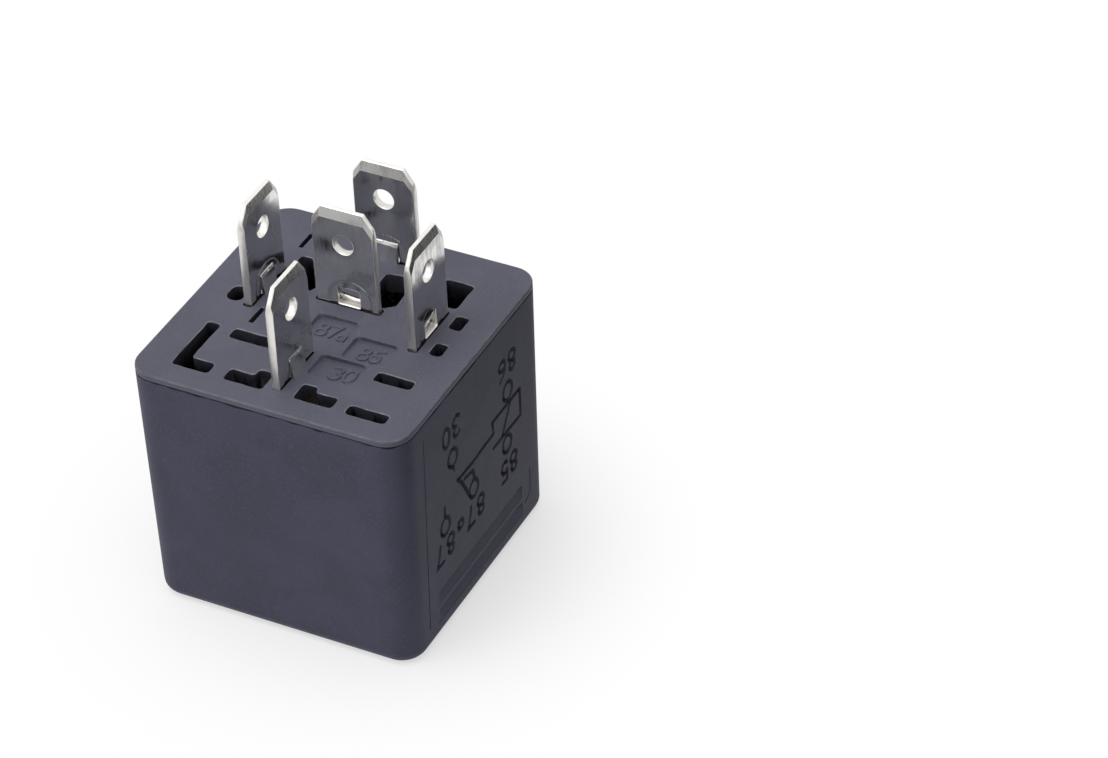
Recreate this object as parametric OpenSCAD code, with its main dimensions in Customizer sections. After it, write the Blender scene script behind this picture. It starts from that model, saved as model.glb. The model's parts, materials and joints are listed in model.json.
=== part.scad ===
// Automotive change-over relay: a square moulded cover over a five-blade base,
// with an open-frame electromagnet and a change-over contact set inside.
// Millimetres. +Z runs along the blades; the cover's closed end lies on Z = 0.

/* [Housing] */
// Outer width of the square housing at the base flange
body_w = 28; // [27:0.1:32]
// Height of the cover from its closed end to its open rim
cover_h = 25.8; // [24.8:0.1:30]
// How far each side of the cover leans in towards the closed end
draft = 0.24; // [0:0.01:0.3]
// Radius of the four upright corners
corner_r = 2.5; // [2:0.1:3.5]
// Radius round the edge of the closed end
end_edge_r = 1.2; // [0.6:0.1:1.4]
// Thickness of the cover's side walls
cover_wall = 1.2; // [0.9:0.05:1.2]
// Thickness of the cover's closed end
end_wall = 1.2; // [0.8:0.1:1.4]
// Diameter of the vent hole in the closed end
vent_d = 2; // [1:0.1:3]
// Thickness of the base flange that closes the cover
flange_t = 0.7; // [0.5:0.05:1.2]
// Thickness of the base plate, flange included
plate_t = 2; // [1.6:0.1:2.4]
// Depth of the base skirt below the flange
skirt_d = 3.4; // [2.6:0.1:4]
// Thickness of the base skirt
skirt_t = 1.2; // [0.8:0.1:1.2]
// Gap between the base skirt and the cover
fit_gap = 0.1; // [0.05:0.01:0.2]
// How far the snap pips stand out of the skirt
pip_out = 0.3; // [0.15:0.05:0.4]
// Length of each snap pip
pip_l = 7; // [4:0.5:9]

/* [Blades] */
// Width of a blade
blade_w = 6.3; // [6:0.1:6.5]
// Thickness of a blade
blade_t = 0.8; // [0.7:0.05:0.9]
// Length of a blade above the base
blade_l = 10.6; // [9:0.1:12]
// Diameter of the locking hole in a blade
hole_d = 2.1; // [1.6:0.1:2.4]
// Distance of the locking hole from the tip
hole_tip = 3.7; // [3:0.1:4.5]
// Width of the cut at each tip corner
corner_cut_w = 1; // [0.4:0.1:1.5]
// Height of the cut at each tip corner
corner_cut_h = 1.5; // [0.6:0.1:2]
// Height of the coined bevel at the tip
bevel_h = 1.1; // [0.4:0.1:1.5]
// Depth of the coined bevel on each face
bevel_d = 0.22; // [0.1:0.01:0.3]
// Width of the sprung tongue that locks a blade in the base
tongue_w = 2.3; // [1.6:0.1:3]
// Height of the tongue
tongue_h = 2.4; // [1.8:0.1:3]
// Thickness of the tongue
tongue_t = 0.5; // [0.3:0.05:0.6]
// How far the tongue's free end stands off the blade
tongue_out = 0.55; // [0.4:0.05:0.8]
// Depth of the seat in the base under a tongue
tongue_seat = 0.1; // [0.05:0.05:0.3]
// Gap on each side of a blade in its slot
slot_gap = 0.12; // [0.05:0.01:0.25]
// Gap at each end of a blade in its slot
slot_end_gap = 0.25; // [0.1:0.05:0.4]
// How far a shoulder reaches past the slot under the base
shoulder_w = 0.15; // [0.1:0.05:0.3]
// Height of a shoulder
shoulder_h = 0.7; // [0.5:0.1:0.7]
// Distance of the two coil blades from the middle
coil_blade_x = 8.5; // [8:0.1:9]
// Centre of the two coil blades, front to back
coil_blade_y = 2; // [1:0.1:3]
// Room between the common blade's shoulder and the base skirt
common_room = 0.05; // [0.05:0.05:0.3]
// Centre of the resting-contact blade, front to back
rest_y = 2.7; // [2.4:0.1:3]
// Room between the working-contact blade and the base skirt
work_room = 0.6; // [0.4:0.05:0.8]

/* [Magnet] */
// Room between the yoke's leg and the cover's wall
leg_room = 2.3; // [2.1:0.1:2.6]
// Height of the pole face above the closed end
pole_z = 7.3; // [6.9:0.1:8]
// Diameter of the core
core_d = 6; // [5:0.1:6.5]
// Diameter of the pole head
pole_d = 9; // [8:0.1:10]
// Thickness of the pole head
pole_t = 0.9; // [0.6:0.1:1.2]
// Diameter of the core's riveted neck
neck_d = 4; // [3:0.1:4.4]
// Width of the bobbin's square ends
bobbin_w = 14.4; // [13.6:0.1:14.6]
// Thickness of each bobbin end
bobbin_t = 1; // [0.8:0.1:1.2]
// Wall of the bobbin's tube
bobbin_wall = 0.7; // [0.5:0.1:1]
// How far the bobbin's ends stand out past the winding
winding_lip = 0.6; // [0.4:0.1:1.2]
// Number of ridges that the outer layer of wire shows
winding_ridges = 22; // [12:1:30]
// Diameter of the coil's lead wires
lead_d = 0.35; // [0.2:0.05:0.5]
// Room between the yoke's foot and the base plate
foot_room = 1.7; // [1.5:0.1:2.4]
// Thickness of the yoke
yoke_t = 1.6; // [1.2:0.1:1.6]
// Width of the yoke
yoke_w = 12.4; // [12:0.1:13]
// Gap between the coil and the yoke's leg
yoke_gap = 0.1; // [0.05:0.05:0.2]

/* [Contacts] */
// Angle through which the armature closes
throw_deg = 4; // [3:0.25:4.5]
// Thickness of the armature
armature_t = 1.4; // [1:0.1:1.5]
// Width of the armature
armature_w = 11; // [10.4:0.1:12]
// Gap left where two working faces close on each other
touch_gap = 0.03; // [0.02:0.01:0.06]
// Thickness of the contact arm
arm_t = 0.3; // [0.2:0.05:0.35]
// Width of the contact arm
arm_w = 4.4; // [3:0.1:5]
// Gap between the contact arm's tip and the strip that it moves past
tip_gap = 0.25; // [0.15:0.05:0.4]
// Diameter of the moving contact's heads
contact_d = 2.8; // [2:0.1:3]
// Height of a contact head's straight edge
contact_rim = 0.5; // [0.3:0.05:0.6]
// Height of the dome on a moving contact head
contact_dome = 0.25; // [0.1:0.05:0.3]
// Thickness of a fixed contact's head
fixed_contact_t = 0.7; // [0.5:0.05:0.8]
// Diameter of the return spring
spring_d = 1.6; // [1.2:0.1:1.6]
// Diameter of the return spring's wire
spring_wire = 0.26; // [0.16:0.02:0.3]
// Number of turns in the return spring
spring_turns = 12; // [8:1:18]
// Width of the flexible copper braid
braid_w = 2.4; // [1.5:0.1:3]
// Thickness of the braid
braid_t = 0.5; // [0.3:0.05:0.6]

/* [Hidden] */

// Housing
half_w = body_w / 2;
base_z = cover_h + flange_t;            // outer face of the base
inner_z = base_z - plate_t;             // inner face of the base plate
cavity_half = half_w - cover_wall;      // half of the cavity at the rim
cavity_r = corner_r - cover_wall;       // corner radius of the cavity
skirt_half = cavity_half - fit_gap;
skirt_in = skirt_half - skirt_t;        // half of the space inside the skirt
pip_z = cover_h - skirt_d * 0.6;        // height of the snap pips
pip_h = 1.2;
pip_play = 0.4;                         // play of a pip along its notch
edge_soft = 0.25;                       // softened edge round the flange
eps = 0.01;

// Openings through the base plate: [low x, low y, size x, size y].
// The blade slots are cut apart from these, from the blades' own sizes.
front = -half_w + 2.5;                  // line of the front slots
left = -half_w + 3.4;                   // line of the left slots
right = half_w - 4.1;                   // line of the right slots
OPENINGS = [
    [left, front, 3.8, 1.5],            // corner slot, short leg
    [left, front, 1.3, 6.8],            // corner slot, long leg
    [-7.8, -6.05, 4.2, 1.4],            // slot beside the common blade
    [-5.2, front - 0.1, 4, 1.6],        // front slot, left
    [-2.8, front + 1, 1.5, 1.4],        // step in that slot
    [1.9, front, 3.9, 1.5],             // front slot, middle
    [1.9, front + 1, 1.5, 1.2],         // step in that slot
    [right - 2.7, front - 0.1, 4, 1.25],    // front slot, right
    [right - 2.7, -6.4, 3.8, 1.25],     // slot in front of the right coil blade
    [right + 0.1, -1, 1.25, 1.75],      // front square hole
    [right - 0.05, 3.1, 1.3, 2],        // back square hole
    [6.4, 5.9, 2.9, 3.8]];              // pocket behind the right coil blade
opening_r = 0.35;                       // corner radius of these openings
// Two larger openings with a cut corner, one each side of the middle blade
CUT_OPENINGS = [
    [[0.9, 3.9], [3.1, 3.4], [4.05, 4.1], [3.9, 6.3], [2.5, 8.5], [0.9, 8.2]],
    [[-7.7, 6.2], [-4.5, 2.8], [-4.1, 3.7], [-5.6, 6.1], [-6.6, 7.6], [-7.7, 7.5]]];
// Two thin slits on the left: [low x, low y], [high x, high y]
SLITS = [[[-7.15, -3.4], [-6.9, -0.9]], [[-8.6, 8.7], [-8.35, 10.9]]];
round_hole_x = left + 0.1;              // small round hole on the left
round_hole_y = 0.1;
round_hole_d = 2;
// Shallow panels that frame the terminal numbers: [low x, low y, size x, size y]
PANELS = [[-1.9, -2.8, 4.3, 3.3], [2.9, -4.5, 4.4, 3.3], [1.3, -8, 4.7, 3.2]];
panel_depth = 0.3;
panel_r = 0.5;
// Two fine grooves across one side of the cover, near the closed end: steep on the
// side of the rim, and running out towards the closed end
GROOVE_Z = [3.4, 5.45];
groove_l = 17.1;
groove_y = -0.25;                       // middle of the grooves, front to back
groove_d = 0.2;
groove_steep = 0.12;                    // height of the steep flank
groove_run = 1.5;                       // height of the whole groove
groove_step = 0.03;                     // depth where it runs out

// Blades and their inner ends
shoulder_half = blade_w / 2 + slot_end_gap + shoulder_w;
common_y = -skirt_in + common_room + shoulder_half;   // centres, front to back
work_y = skirt_in - work_room - blade_t / 2;
tail_w = 1.6;                           // solder tail of a coil blade
tail_up = 0.1;                          // room between a tail's end and the bobbin's end
solder_d = 0.9;                         // size of the drop of solder on a tail
solder_cap = 0.2;                       // solder over the wire in that drop
tongue_play = 0.1;                      // play of a tongue in its window
jog_gap = 0.2;                          // play between the base and an inner strip
jog_z = inner_z - jog_gap - blade_t;    // underside of the resting strip's run
riser_w = 4.4;
riser_gap = 0.2;                        // gap between the two risers
rest_riser_y = work_y - 1.5 * blade_t - riser_gap;    // front of the resting strip's riser
work_riser_x = 0.8;
rest_riser_x = work_riser_x - riser_gap - riser_w;
tip_reach = 1.55;                       // how far the contact arm reaches past its contact
contact_y = rest_riser_y - tip_gap - tip_reach;       // centre of the contacts
tab_half = 1.55;                        // half of the width of a contact tab
tab_end = 1.6;                          // end of a contact tab past the contact

// Magnet
foot_z = inner_z - foot_room - yoke_t;  // pole-side face of the yoke's foot
yoke_rise = foot_z - pole_z;            // height of that face above the pole face
leg_back = -cavity_half + leg_room;     // leg face towards the cover
leg_front = leg_back + yoke_t;          // leg face towards the coil
coil_y = leg_front + yoke_gap + bobbin_w / 2;         // centre of the coil
winding_d = bobbin_w - 2 * winding_lip;
tail_z = foot_z + tail_up;              // end of a coil blade's tail
solder_z = tail_z + 0.6 * solder_d;
peen_h = 0.4;                           // peened end of the core over the foot
peen_w = 0.5;
notch_in = 1.2;                         // depth of a bobbin end's notch for a lead
notch_w = 1.2;
ear_w = 1;
ear_h = armature_t + 0.4;
ear_gap = 0.2;
flange_low_z = pole_z + pole_t;
flange_high_z = foot_z - bobbin_t;
post_d = 2.6;
post_in = 0.2;                          // how far a post stands in from the yoke's side

// Closed pose of the armature; the rest pose is this, swung open about the hinge
hinge_y = leg_back;
hinge_z = pole_z;
armature_z = pole_z - touch_gap - armature_t;         // face away from the pole
armature_front = contact_y - contact_d / 2 - 2.3;
tail_reach = 1.45;                      // armature hook behind the hinge
arm_z = armature_z - arm_t;             // outer face of the contact arm
contact_r = contact_d / 2;
head_h = contact_rim + contact_dome;
dome_r = (contact_r * contact_r + contact_dome * contact_dome) / (2 * contact_dome);
shank_d = 1.3;
arm_back = hinge_y + 2.4;
arm_root_l = 3.2;                       // wider root of the arm, for the braid
rivet_d = 1.2;
rivet_head_d = 2.2;
rivet_head_h = 0.4;
arm_rivet_back = 1.6;                   // rivets, in from the arm's and the armature's ends
arm_rivet_front = 1.9;
ARM_RIVET_Y = [arm_back + arm_rivet_back, armature_front - arm_rivet_front];
// The working contact meets the closed pose, the resting contact the open pose
work_face_z = armature_z + head_h + touch_gap;
work_tab_z = work_face_z + fixed_contact_t;
dome_dy = contact_y - hinge_y;
dome_dz = arm_z - head_h + dome_r - hinge_z;
rest_face_z = hinge_z - dome_dy * sin(throw_deg) + dome_dz * cos(throw_deg) - dome_r - touch_gap;
rest_tab_z = rest_face_z - fixed_contact_t - blade_t;

// Return spring and braid, both behind the yoke's leg
spring_x = 3.4;
spring_y = hinge_y - 0.15 - spring_d / 2;
lug_half = 0.6;                         // half of the width of the lug and hook for the spring
lug_l = spring_d / 2 + 0.45;            // how far the lug stands off the leg
spring_lift = 0.1;                      // how far the spring starts above the pole face
spring_rise = 6.9;
spring_low = pole_z + spring_lift;
spring_high = spring_low + spring_rise;
braid_x = -3.2;
function arm_low(y) =                   // outer face of the contact arm in the rest pose
    hinge_z - (y - hinge_y) * tan(throw_deg) + (arm_z - hinge_z) / cos(throw_deg);
// The braid's middle line behind the hinge: [back from the hinge, up from the pole face]
BRAID_BOW = [[0.25, 9.7], [0.25, 7.1], [0.7, 5.3], [1.15, 3.3], [1.3, 1.1], [1.25, -0.9],
    [0.8, -2.2], [-0.2, -3], [-1.4, -3.05]];
braid_play = 0.01;                      // gap between the braid and the arm that it lies on
braid_dip = 0.35;                       // how far it hangs below the arm's back end
BRAID_LAND = [1, 2.8];                  // where it lies on the arm, from the arm's back end
BRAID_PATH = concat(
    [for (p = BRAID_BOW) [hinge_y - p[0], pole_z + p[1]]],
    [[arm_back - 0.1, arm_low(arm_back) - braid_t / 2 - braid_dip]],
    [for (d = BRAID_LAND) [arm_back + d, arm_low(arm_back + d) - braid_t / 2 - braid_play]]);

// ---- shared shapes ----

// A square with rounded corners, centred
module round_square(w, r) {
    square([w - 2 * r, w], center = true);
    square([w, w - 2 * r], center = true);
    for (sx = [-1, 1], sy = [-1, 1])
        translate([sx * (w / 2 - r), sy * (w / 2 - r)])
            circle(r, $fn = 32);
}

// A plate with two flat sides in plan and one round end towards +Y
module round_end_strip(w, y0, y1, t) {
    translate([-w / 2, y0, 0])
        cube([w, y1 - y0 - w / 2, t]);
    translate([0, y1 - w / 2, 0])
        cylinder(d = w, h = t, $fn = 48);
}

// A box given by its low corner and its high corner
module block(a, b) {
    translate(a)
        cube([b[0] - a[0], b[1] - a[1], b[2] - a[2]]);
}

// Turns the closed pose of the moving parts into the rest pose
module swing_open() {
    translate([0, hinge_y, hinge_z])
        rotate([-throw_deg, 0, 0])
            translate([0, -hinge_y, -hinge_z])
                children();
}

// Functions for a tube of any outline swept along a path of points
function unit(v) = v / norm(v);
function path_dir(p, i) =
    unit(p[min(i + 1, len(p) - 1)] - p[max(i - 1, 0)]);
function ring(p, i, outline, up) =
    let (d = path_dir(p, i), s = unit(cross(up, d)), u = cross(d, s))
        [for (q = outline) p[i] + q[0] * s + q[1] * u];
function round_outline(d, sides) =
    [for (k = [0:sides - 1]) d / 2 * [cos(360 * k / sides), sin(360 * k / sides)]];
function flat_outline(w, t) =
    [[w / 2, -t / 2], [w / 2, t / 2], [-w / 2, t / 2], [-w / 2, -t / 2]];

module sweep(path, outline, up) {
    m = len(outline);
    n = len(path);
    points = [for (i = [0:n - 1]) each ring(path, i, outline, up)];
    sides = [for (i = [0:n - 2], k = [0:m - 1])
        let (a = i * m + k, b = i * m + (k + 1) % m) each [[a, a + m, b + m], [a, b + m, b]]];
    start = [for (k = [0:m - 1]) k];
    finish = [for (k = [m - 1:-1:0]) (n - 1) * m + k];
    polyhedron(points = points, faces = concat([start], sides, [finish]));
}

// ---- housing ----

// One corner of the cover: an upright post that ends in a rounded edge
module cover_corner(r, edge_r) {
    rotate_extrude($fn = 32) {
        square([r - edge_r, edge_r]);
        intersection() {
            translate([r - edge_r, edge_r])
                circle(edge_r, $fn = 32);
            square([r, edge_r]);
        }
    }
}

// Solid block between the closed end and the rim, leaning in by the draft
module cover_block(half, r, edge_r, low_z) {
    hull()
        for (sx = [-1, 1], sy = [-1, 1]) {
            low = half - draft - r;
            translate([sx * low, sy * low, low_z])
                cover_corner(r, edge_r);
            translate([sx * (half - r), sy * (half - r), cover_h - 0.2])
                cylinder(r = r, h = 0.2, $fn = 32);
        }
}

module cover() {
    color([0.16, 0.16, 0.19])
        difference() {
            cover_block(half_w, corner_r, end_edge_r, 0);
            cover_block(cavity_half, cavity_r, min(0.6, cavity_r / 2), end_wall);
            // the cavity runs out through the rim
            translate([0, 0, cover_h - 0.2])
                linear_extrude(1)
                    round_square(2 * cavity_half, cavity_r);
            translate([0, 0, -1])
                cylinder(d = vent_d, h = end_wall + 2, $fn = 48);
            // notches for the base's snap pips
            for (s = [-1, 1])
                translate([s * (skirt_half + pip_out / 2 + fit_gap), 0, pip_z])
                    cube([pip_out + 2 * fit_gap, pip_l + pip_play, pip_h + pip_play], center = true);
            for (z = GROOVE_Z)
                translate([half_w, groove_y + groove_l / 2, z])
                    rotate([90, 0, 0])
                        linear_extrude(groove_l)
                            groove_profile(z);
        }
}

function lean(z) = draft * (1 - z / cover_h);

// Section of a groove whose steep flank starts at height z
module groove_profile(z) {
    polygon([[cover_wall, 0], [-lean(z), 0], [-lean(z) - groove_d, -groove_steep],
        [-lean(z - groove_run) - groove_step, -groove_run], [cover_wall, -groove_run]]);
}

// A slot that a blade passes through and the seat for its tongue, in the blade's own frame
module blade_slot(side = 1) {
    seat = blade_t / 2 + tongue_out + slot_gap;
    translate([0, 0, -2 * plate_t])
        linear_extrude(4 * plate_t)
            round_rect(blade_w + 2 * slot_end_gap, blade_t + 2 * slot_gap, opening_r);
    translate([-tongue_w / 2 - slot_gap, min(0, side * seat), -tongue_seat])
        cube([tongue_w + 2 * slot_gap, seat, 1]);
}

module base_plate() {
    // flange with a softened outer edge
    hull() {
        translate([0, 0, cover_h])
            linear_extrude(flange_t - edge_soft)
                round_square(body_w, corner_r);
        translate([0, 0, cover_h])
            linear_extrude(flange_t)
                round_square(body_w - 2 * edge_soft, corner_r - edge_soft);
    }
    translate([0, 0, inner_z])
        linear_extrude(plate_t - flange_t + 0.1)
            round_square(2 * skirt_half, cavity_r);
}

module base_skirt() {
    translate([0, 0, cover_h - skirt_d])
        linear_extrude(skirt_d)
            difference() {
                round_square(2 * skirt_half, cavity_r);
                round_square(2 * skirt_in, 0.6);
            }
    for (s = [-1, 1])
        translate([s * skirt_half, 0, pip_z])
            rotate([90, 0, 0])
                linear_extrude(pip_l, center = true)
                    polygon([[-s * 0.5, -pip_h / 2], [0, -pip_h / 2], [s * pip_out, 0],
                        [0, pip_h / 2], [-s * 0.5, pip_h / 2]]);
}

// Posts under the base plate that the yoke's foot is held against
module yoke_posts() {
    low = foot_z + yoke_t;
    leg_post = yoke_w / 2 - post_d / 2 - post_in;
    for (p = [[leg_post, leg_front + post_d - 0.4], [post_d + 2, coil_y + 1]], s = [-1, 1])
        translate([s * p[0], p[1], low])
            cylinder(d = post_d, h = inner_z - low + 0.1, $fn = 48);
}

module base() {
    color([0.33, 0.33, 0.37])
        difference() {
            union() {
                base_plate();
                base_skirt();
                yoke_posts();
            }
            for (o = OPENINGS)
                translate([o[0] + o[2] / 2, o[1] + o[3] / 2, inner_z - 1])
                    linear_extrude(plate_t + 2)
                        round_rect(o[2], o[3], opening_r);
            for (c = SLITS)
                block([c[0][0], c[0][1], inner_z - 1], [c[1][0], c[1][1], base_z + 1]);
            for (o = CUT_OPENINGS)
                translate([0, 0, inner_z - 1])
                    linear_extrude(plate_t + 2)
                        polygon(o);
            translate([round_hole_x, round_hole_y, inner_z - 1])
                cylinder(d = round_hole_d, h = plate_t + 2, $fn = 48);
            for (p = PANELS)
                translate([p[0] + p[2] / 2, p[1] + p[3] / 2, base_z - panel_depth])
                    linear_extrude(1)
                        round_rect(p[2], p[3], panel_r);
            place_coil_blade(-1)
                blade_slot(-1);
            place_coil_blade(1)
                blade_slot();
            place_common_blade()
                blade_slot(-1);
            place_rest_blade()
                blade_slot();
            place_work_blade()
                blade_slot(-1);
        }
}

module round_rect(w, d, r) {
    square([w - 2 * r, d], center = true);
    square([w, d - 2 * r], center = true);
    for (sx = [-1, 1], sy = [-1, 1])
        translate([sx * (w / 2 - r), sy * (d / 2 - r)])
            circle(r, $fn = 24);
}

// ---- blades ----
// In its own frame a blade is wide along X, thin along Y, and its outer part
// starts at Z = 0 on the base's outer face. Its tongue springs out of the face on
// the given side, 1 for +Y and -1 for -Y.

module place_coil_blade(side) {
    translate([side * coil_blade_x, coil_blade_y, base_z])
        rotate([0, 0, 90])
            children();
}

module place_common_blade() {
    translate([0, common_y, base_z])
        rotate([0, 0, 90])
            children();
}

module place_rest_blade() {
    translate([0, rest_y, base_z])
        children();
}

module place_work_blade() {
    translate([0, work_y, base_z])
        children();
}

module blade(side = 1) {
    w = blade_w / 2;
    t = blade_t / 2;
    l = blade_l;
    low = -plate_t - shoulder_h;
    difference() {
        intersection() {
            rotate([90, 0, 0])
                linear_extrude(blade_t, center = true)
                    polygon([[-w, low], [w, low], [w, l - corner_cut_h], [w - corner_cut_w, l],
                        [-w + corner_cut_w, l], [-w, l - corner_cut_h]]);
            rotate([90, 0, 90])
                linear_extrude(blade_w, center = true)
                    polygon([[-t, low], [t, low], [t, l - bevel_h], [t - bevel_d, l],
                        [-t + bevel_d, l], [-t, l - bevel_h]]);
        }
        translate([0, 0, l - hole_tip])
            rotate([90, 0, 0])
                cylinder(d = hole_d, h = 2 * blade_t, center = true, $fn = 48);
        // window that the tongue is sheared from, with its floor level with the base
        translate([0, 0, tongue_h / 2])
            cube([tongue_w + tongue_play, 2 * blade_t, tongue_h], center = true);
    }
    mirror([0, side < 0 ? 1 : 0, 0])
        blade_tongue();
    // shoulders that stop against the inner face of the base
    translate([0, 0, -plate_t - shoulder_h / 2])
        cube([2 * shoulder_half, blade_t, shoulder_h], center = true);
}

module blade_tongue() {
    t = blade_t / 2;
    low = -tongue_seat;
    rotate([90, 0, 90])
        linear_extrude(tongue_w, center = true)
            polygon([[t + tongue_out, low], [t + tongue_out - tongue_t, low],
                [t - tongue_t, tongue_h], [t - tongue_t, tongue_h + 0.1],
                [t, tongue_h + 0.1], [t, tongue_h]]);
}

// Coil blade: a narrow tail runs down beside the bobbin for the lead wire
module coil_terminal(side) {
    color([0.78, 0.77, 0.74])
        place_coil_blade(side) {
            blade(side);
            block([blade_w / 2 - tail_w, -blade_t / 2, tail_z - base_z],
                [blade_w / 2, blade_t / 2, -plate_t - shoulder_h + 0.1]);
        }
}

module terminal_85() {
    coil_terminal(1);
}

module terminal_86() {
    coil_terminal(-1);
}

// Common blade: it bends over below the base and lies on the yoke's foot
foot_x1 = 3.2;
foot_behind = 2;                        // reach of its foot, each way from the blade's middle
foot_ahead = 2.6;
foot_y0 = common_y - foot_behind;
foot_y1 = common_y + foot_ahead;
foot_rivet_x = 1.8;
foot_rivet_in = 1.1;                    // rivets, in from the foot's ends
COMMON_RIVETS = [[foot_rivet_x, foot_y0 + foot_rivet_in], [foot_rivet_x, foot_y1 - foot_rivet_in]];

module terminal_30() {
    foot_top = foot_z + yoke_t + blade_t;
    color([0.78, 0.77, 0.74]) {
        place_common_blade()
            blade(-1);
        difference() {
            union() {
                block([-blade_t / 2, foot_y0, foot_z + yoke_t],
                    [blade_t / 2, foot_y1, inner_z - shoulder_h + 0.1]);
                block([-blade_t / 2, foot_y0, foot_z + yoke_t], [foot_x1, foot_y1, foot_top]);
            }
            for (p = COMMON_RIVETS)
                translate([p[0], p[1], foot_z])
                    cylinder(d = rivet_d, h = yoke_t + 3 * blade_t, $fn = 32);
        }
    }
}

module common_rivets() {
    color([0.72, 0.55, 0.3])
        for (p = COMMON_RIVETS)
            translate([p[0], p[1], 0]) {
                translate([0, 0, foot_z])
                    cylinder(d = rivet_d, h = yoke_t + blade_t, $fn = 32);
                translate([0, 0, foot_z + yoke_t + blade_t])
                    cylinder(d = rivet_head_d, h = rivet_head_h, $fn = 32);
            }
}

// Working blade: it runs straight down and bends in under the moving contact
module terminal_87() {
    front = work_y - blade_t / 2;
    back = work_y + blade_t / 2;
    tab_low = work_tab_z;
    color([0.78, 0.77, 0.74]) {
        place_work_blade()
            blade(-1);
        block([work_riser_x, front, tab_low], [work_riser_x + riser_w, back, inner_z - shoulder_h + 0.1]);
        difference() {
            translate([0, 0, tab_low])
                linear_extrude(blade_t)
                    polygon([[work_riser_x, back], [work_riser_x + riser_w, back],
                        [work_riser_x + riser_w, contact_y + 0.4], [tab_half + 0.6, contact_y - tab_half],
                        [-tab_end, contact_y - tab_half], [-tab_end, contact_y + tab_half],
                        [work_riser_x, contact_y + tab_half]]);
            translate([0, contact_y, tab_low - 1])
                cylinder(d = shank_d, h = 4, $fn = 32);
        }
    }
}

// Resting blade: it runs back under the base, then down past the working strip
module terminal_87a() {
    back = rest_riser_y + blade_t;
    color([0.78, 0.77, 0.74]) {
        place_rest_blade()
            blade();
        block([rest_riser_x + 0.8, rest_y - blade_t / 2, jog_z],
            [blade_w / 2 - 0.8, rest_y + blade_t / 2, inner_z - shoulder_h + 0.1]);
        block([rest_riser_x, rest_y - blade_t / 2, jog_z],
            [rest_riser_x + riser_w, back, jog_z + blade_t]);
        block([rest_riser_x, rest_riser_y, rest_tab_z],
            [rest_riser_x + riser_w, back, jog_z + 0.1]);
        difference() {
            block([rest_riser_x, contact_y - tab_half, rest_tab_z],
                [tab_end, back, rest_tab_z + blade_t]);
            translate([0, contact_y, rest_tab_z - 1])
                cylinder(d = shank_d, h = 4, $fn = 32);
        }
    }
}

// ---- magnet ----

module yoke() {
    w = yoke_w / 2;
    foot_front = coil_y + neck_d / 2 + 1.9;
    color([0.7, 0.7, 0.68])
        difference() {
            union() {
                block([-w, leg_back, foot_z], [w, foot_front, foot_z + yoke_t]);
                block([-w, leg_back, pole_z], [w, leg_front, foot_z + 0.1]);
                // ears that keep the armature in line
                for (s = [-1, 1])
                    translate([s * (w - ear_w / 2), (leg_back + leg_front) / 2, pole_z - ear_h / 2 + 0.05])
                        cube([ear_w, yoke_t, ear_h + 0.1], center = true);
                // lug that the return spring hooks on
                block([spring_x - lug_half, leg_back - lug_l, spring_high],
                    [spring_x + lug_half, leg_back + 0.1, spring_high + lug_half]);
            }
            translate([0, coil_y, foot_z - 1])
                cylinder(d = neck_d, h = yoke_t + 2, $fn = 48);
            for (p = COMMON_RIVETS)
                translate([p[0], p[1], foot_z - 1])
                    cylinder(d = rivet_d, h = yoke_t + 2, $fn = 32);
        }
}

module core() {
    color([0.62, 0.62, 0.62])
        translate([0, coil_y, 0]) {
            translate([0, 0, pole_z])
                cylinder(d = pole_d, h = pole_t, $fn = 64);
            translate([0, 0, pole_z])
                cylinder(d = core_d, h = yoke_rise, $fn = 64);
            translate([0, 0, pole_z])
                cylinder(d = neck_d, h = yoke_rise + yoke_t + peen_h / 2, $fn = 64);
            // peened end over the foot
            translate([0, 0, foot_z + yoke_t])
                cylinder(d1 = neck_d + 2 * peen_w, d2 = neck_d, h = peen_h, $fn = 64);
        }
}

module bobbin_end(z) {
    difference() {
        translate([0, coil_y, z])
            linear_extrude(bobbin_t)
                round_square(bobbin_w, 1.5);
        // notches that the lead wires pass through
        for (s = [-1, 1])
            translate([s * bobbin_w / 2, coil_blade_y, z + bobbin_t / 2])
                cube([2 * notch_in, notch_w, bobbin_t + 1], center = true);
    }
}

module bobbin() {
    color([0.9, 0.89, 0.84])
        difference() {
            union() {
                bobbin_end(flange_low_z);
                bobbin_end(flange_high_z);
                translate([0, coil_y, flange_low_z])
                    cylinder(d = core_d + 2 * bobbin_wall, h = foot_z - flange_low_z, $fn = 64);
            }
            translate([0, coil_y, flange_low_z - 1])
                cylinder(d = core_d, h = yoke_rise + 2, $fn = 64);
        }
}

module coil_winding() {
    low = flange_low_z + bobbin_t;
    high = flange_high_z;
    pitch = (high - low) / winding_ridges;
    r_in = core_d / 2 + bobbin_wall;
    r_out = winding_d / 2 - pitch / 2;
    color([0.62, 0.3, 0.12])
        translate([0, coil_y, 0])
            rotate_extrude($fn = 64) {
                translate([r_in, low])
                    square([r_out - r_in, high - low]);
                for (i = [0:winding_ridges - 1])
                    translate([r_out, low + (i + 0.5) * pitch])
                        circle(pitch / 2, $fn = 16);
            }
}

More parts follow.
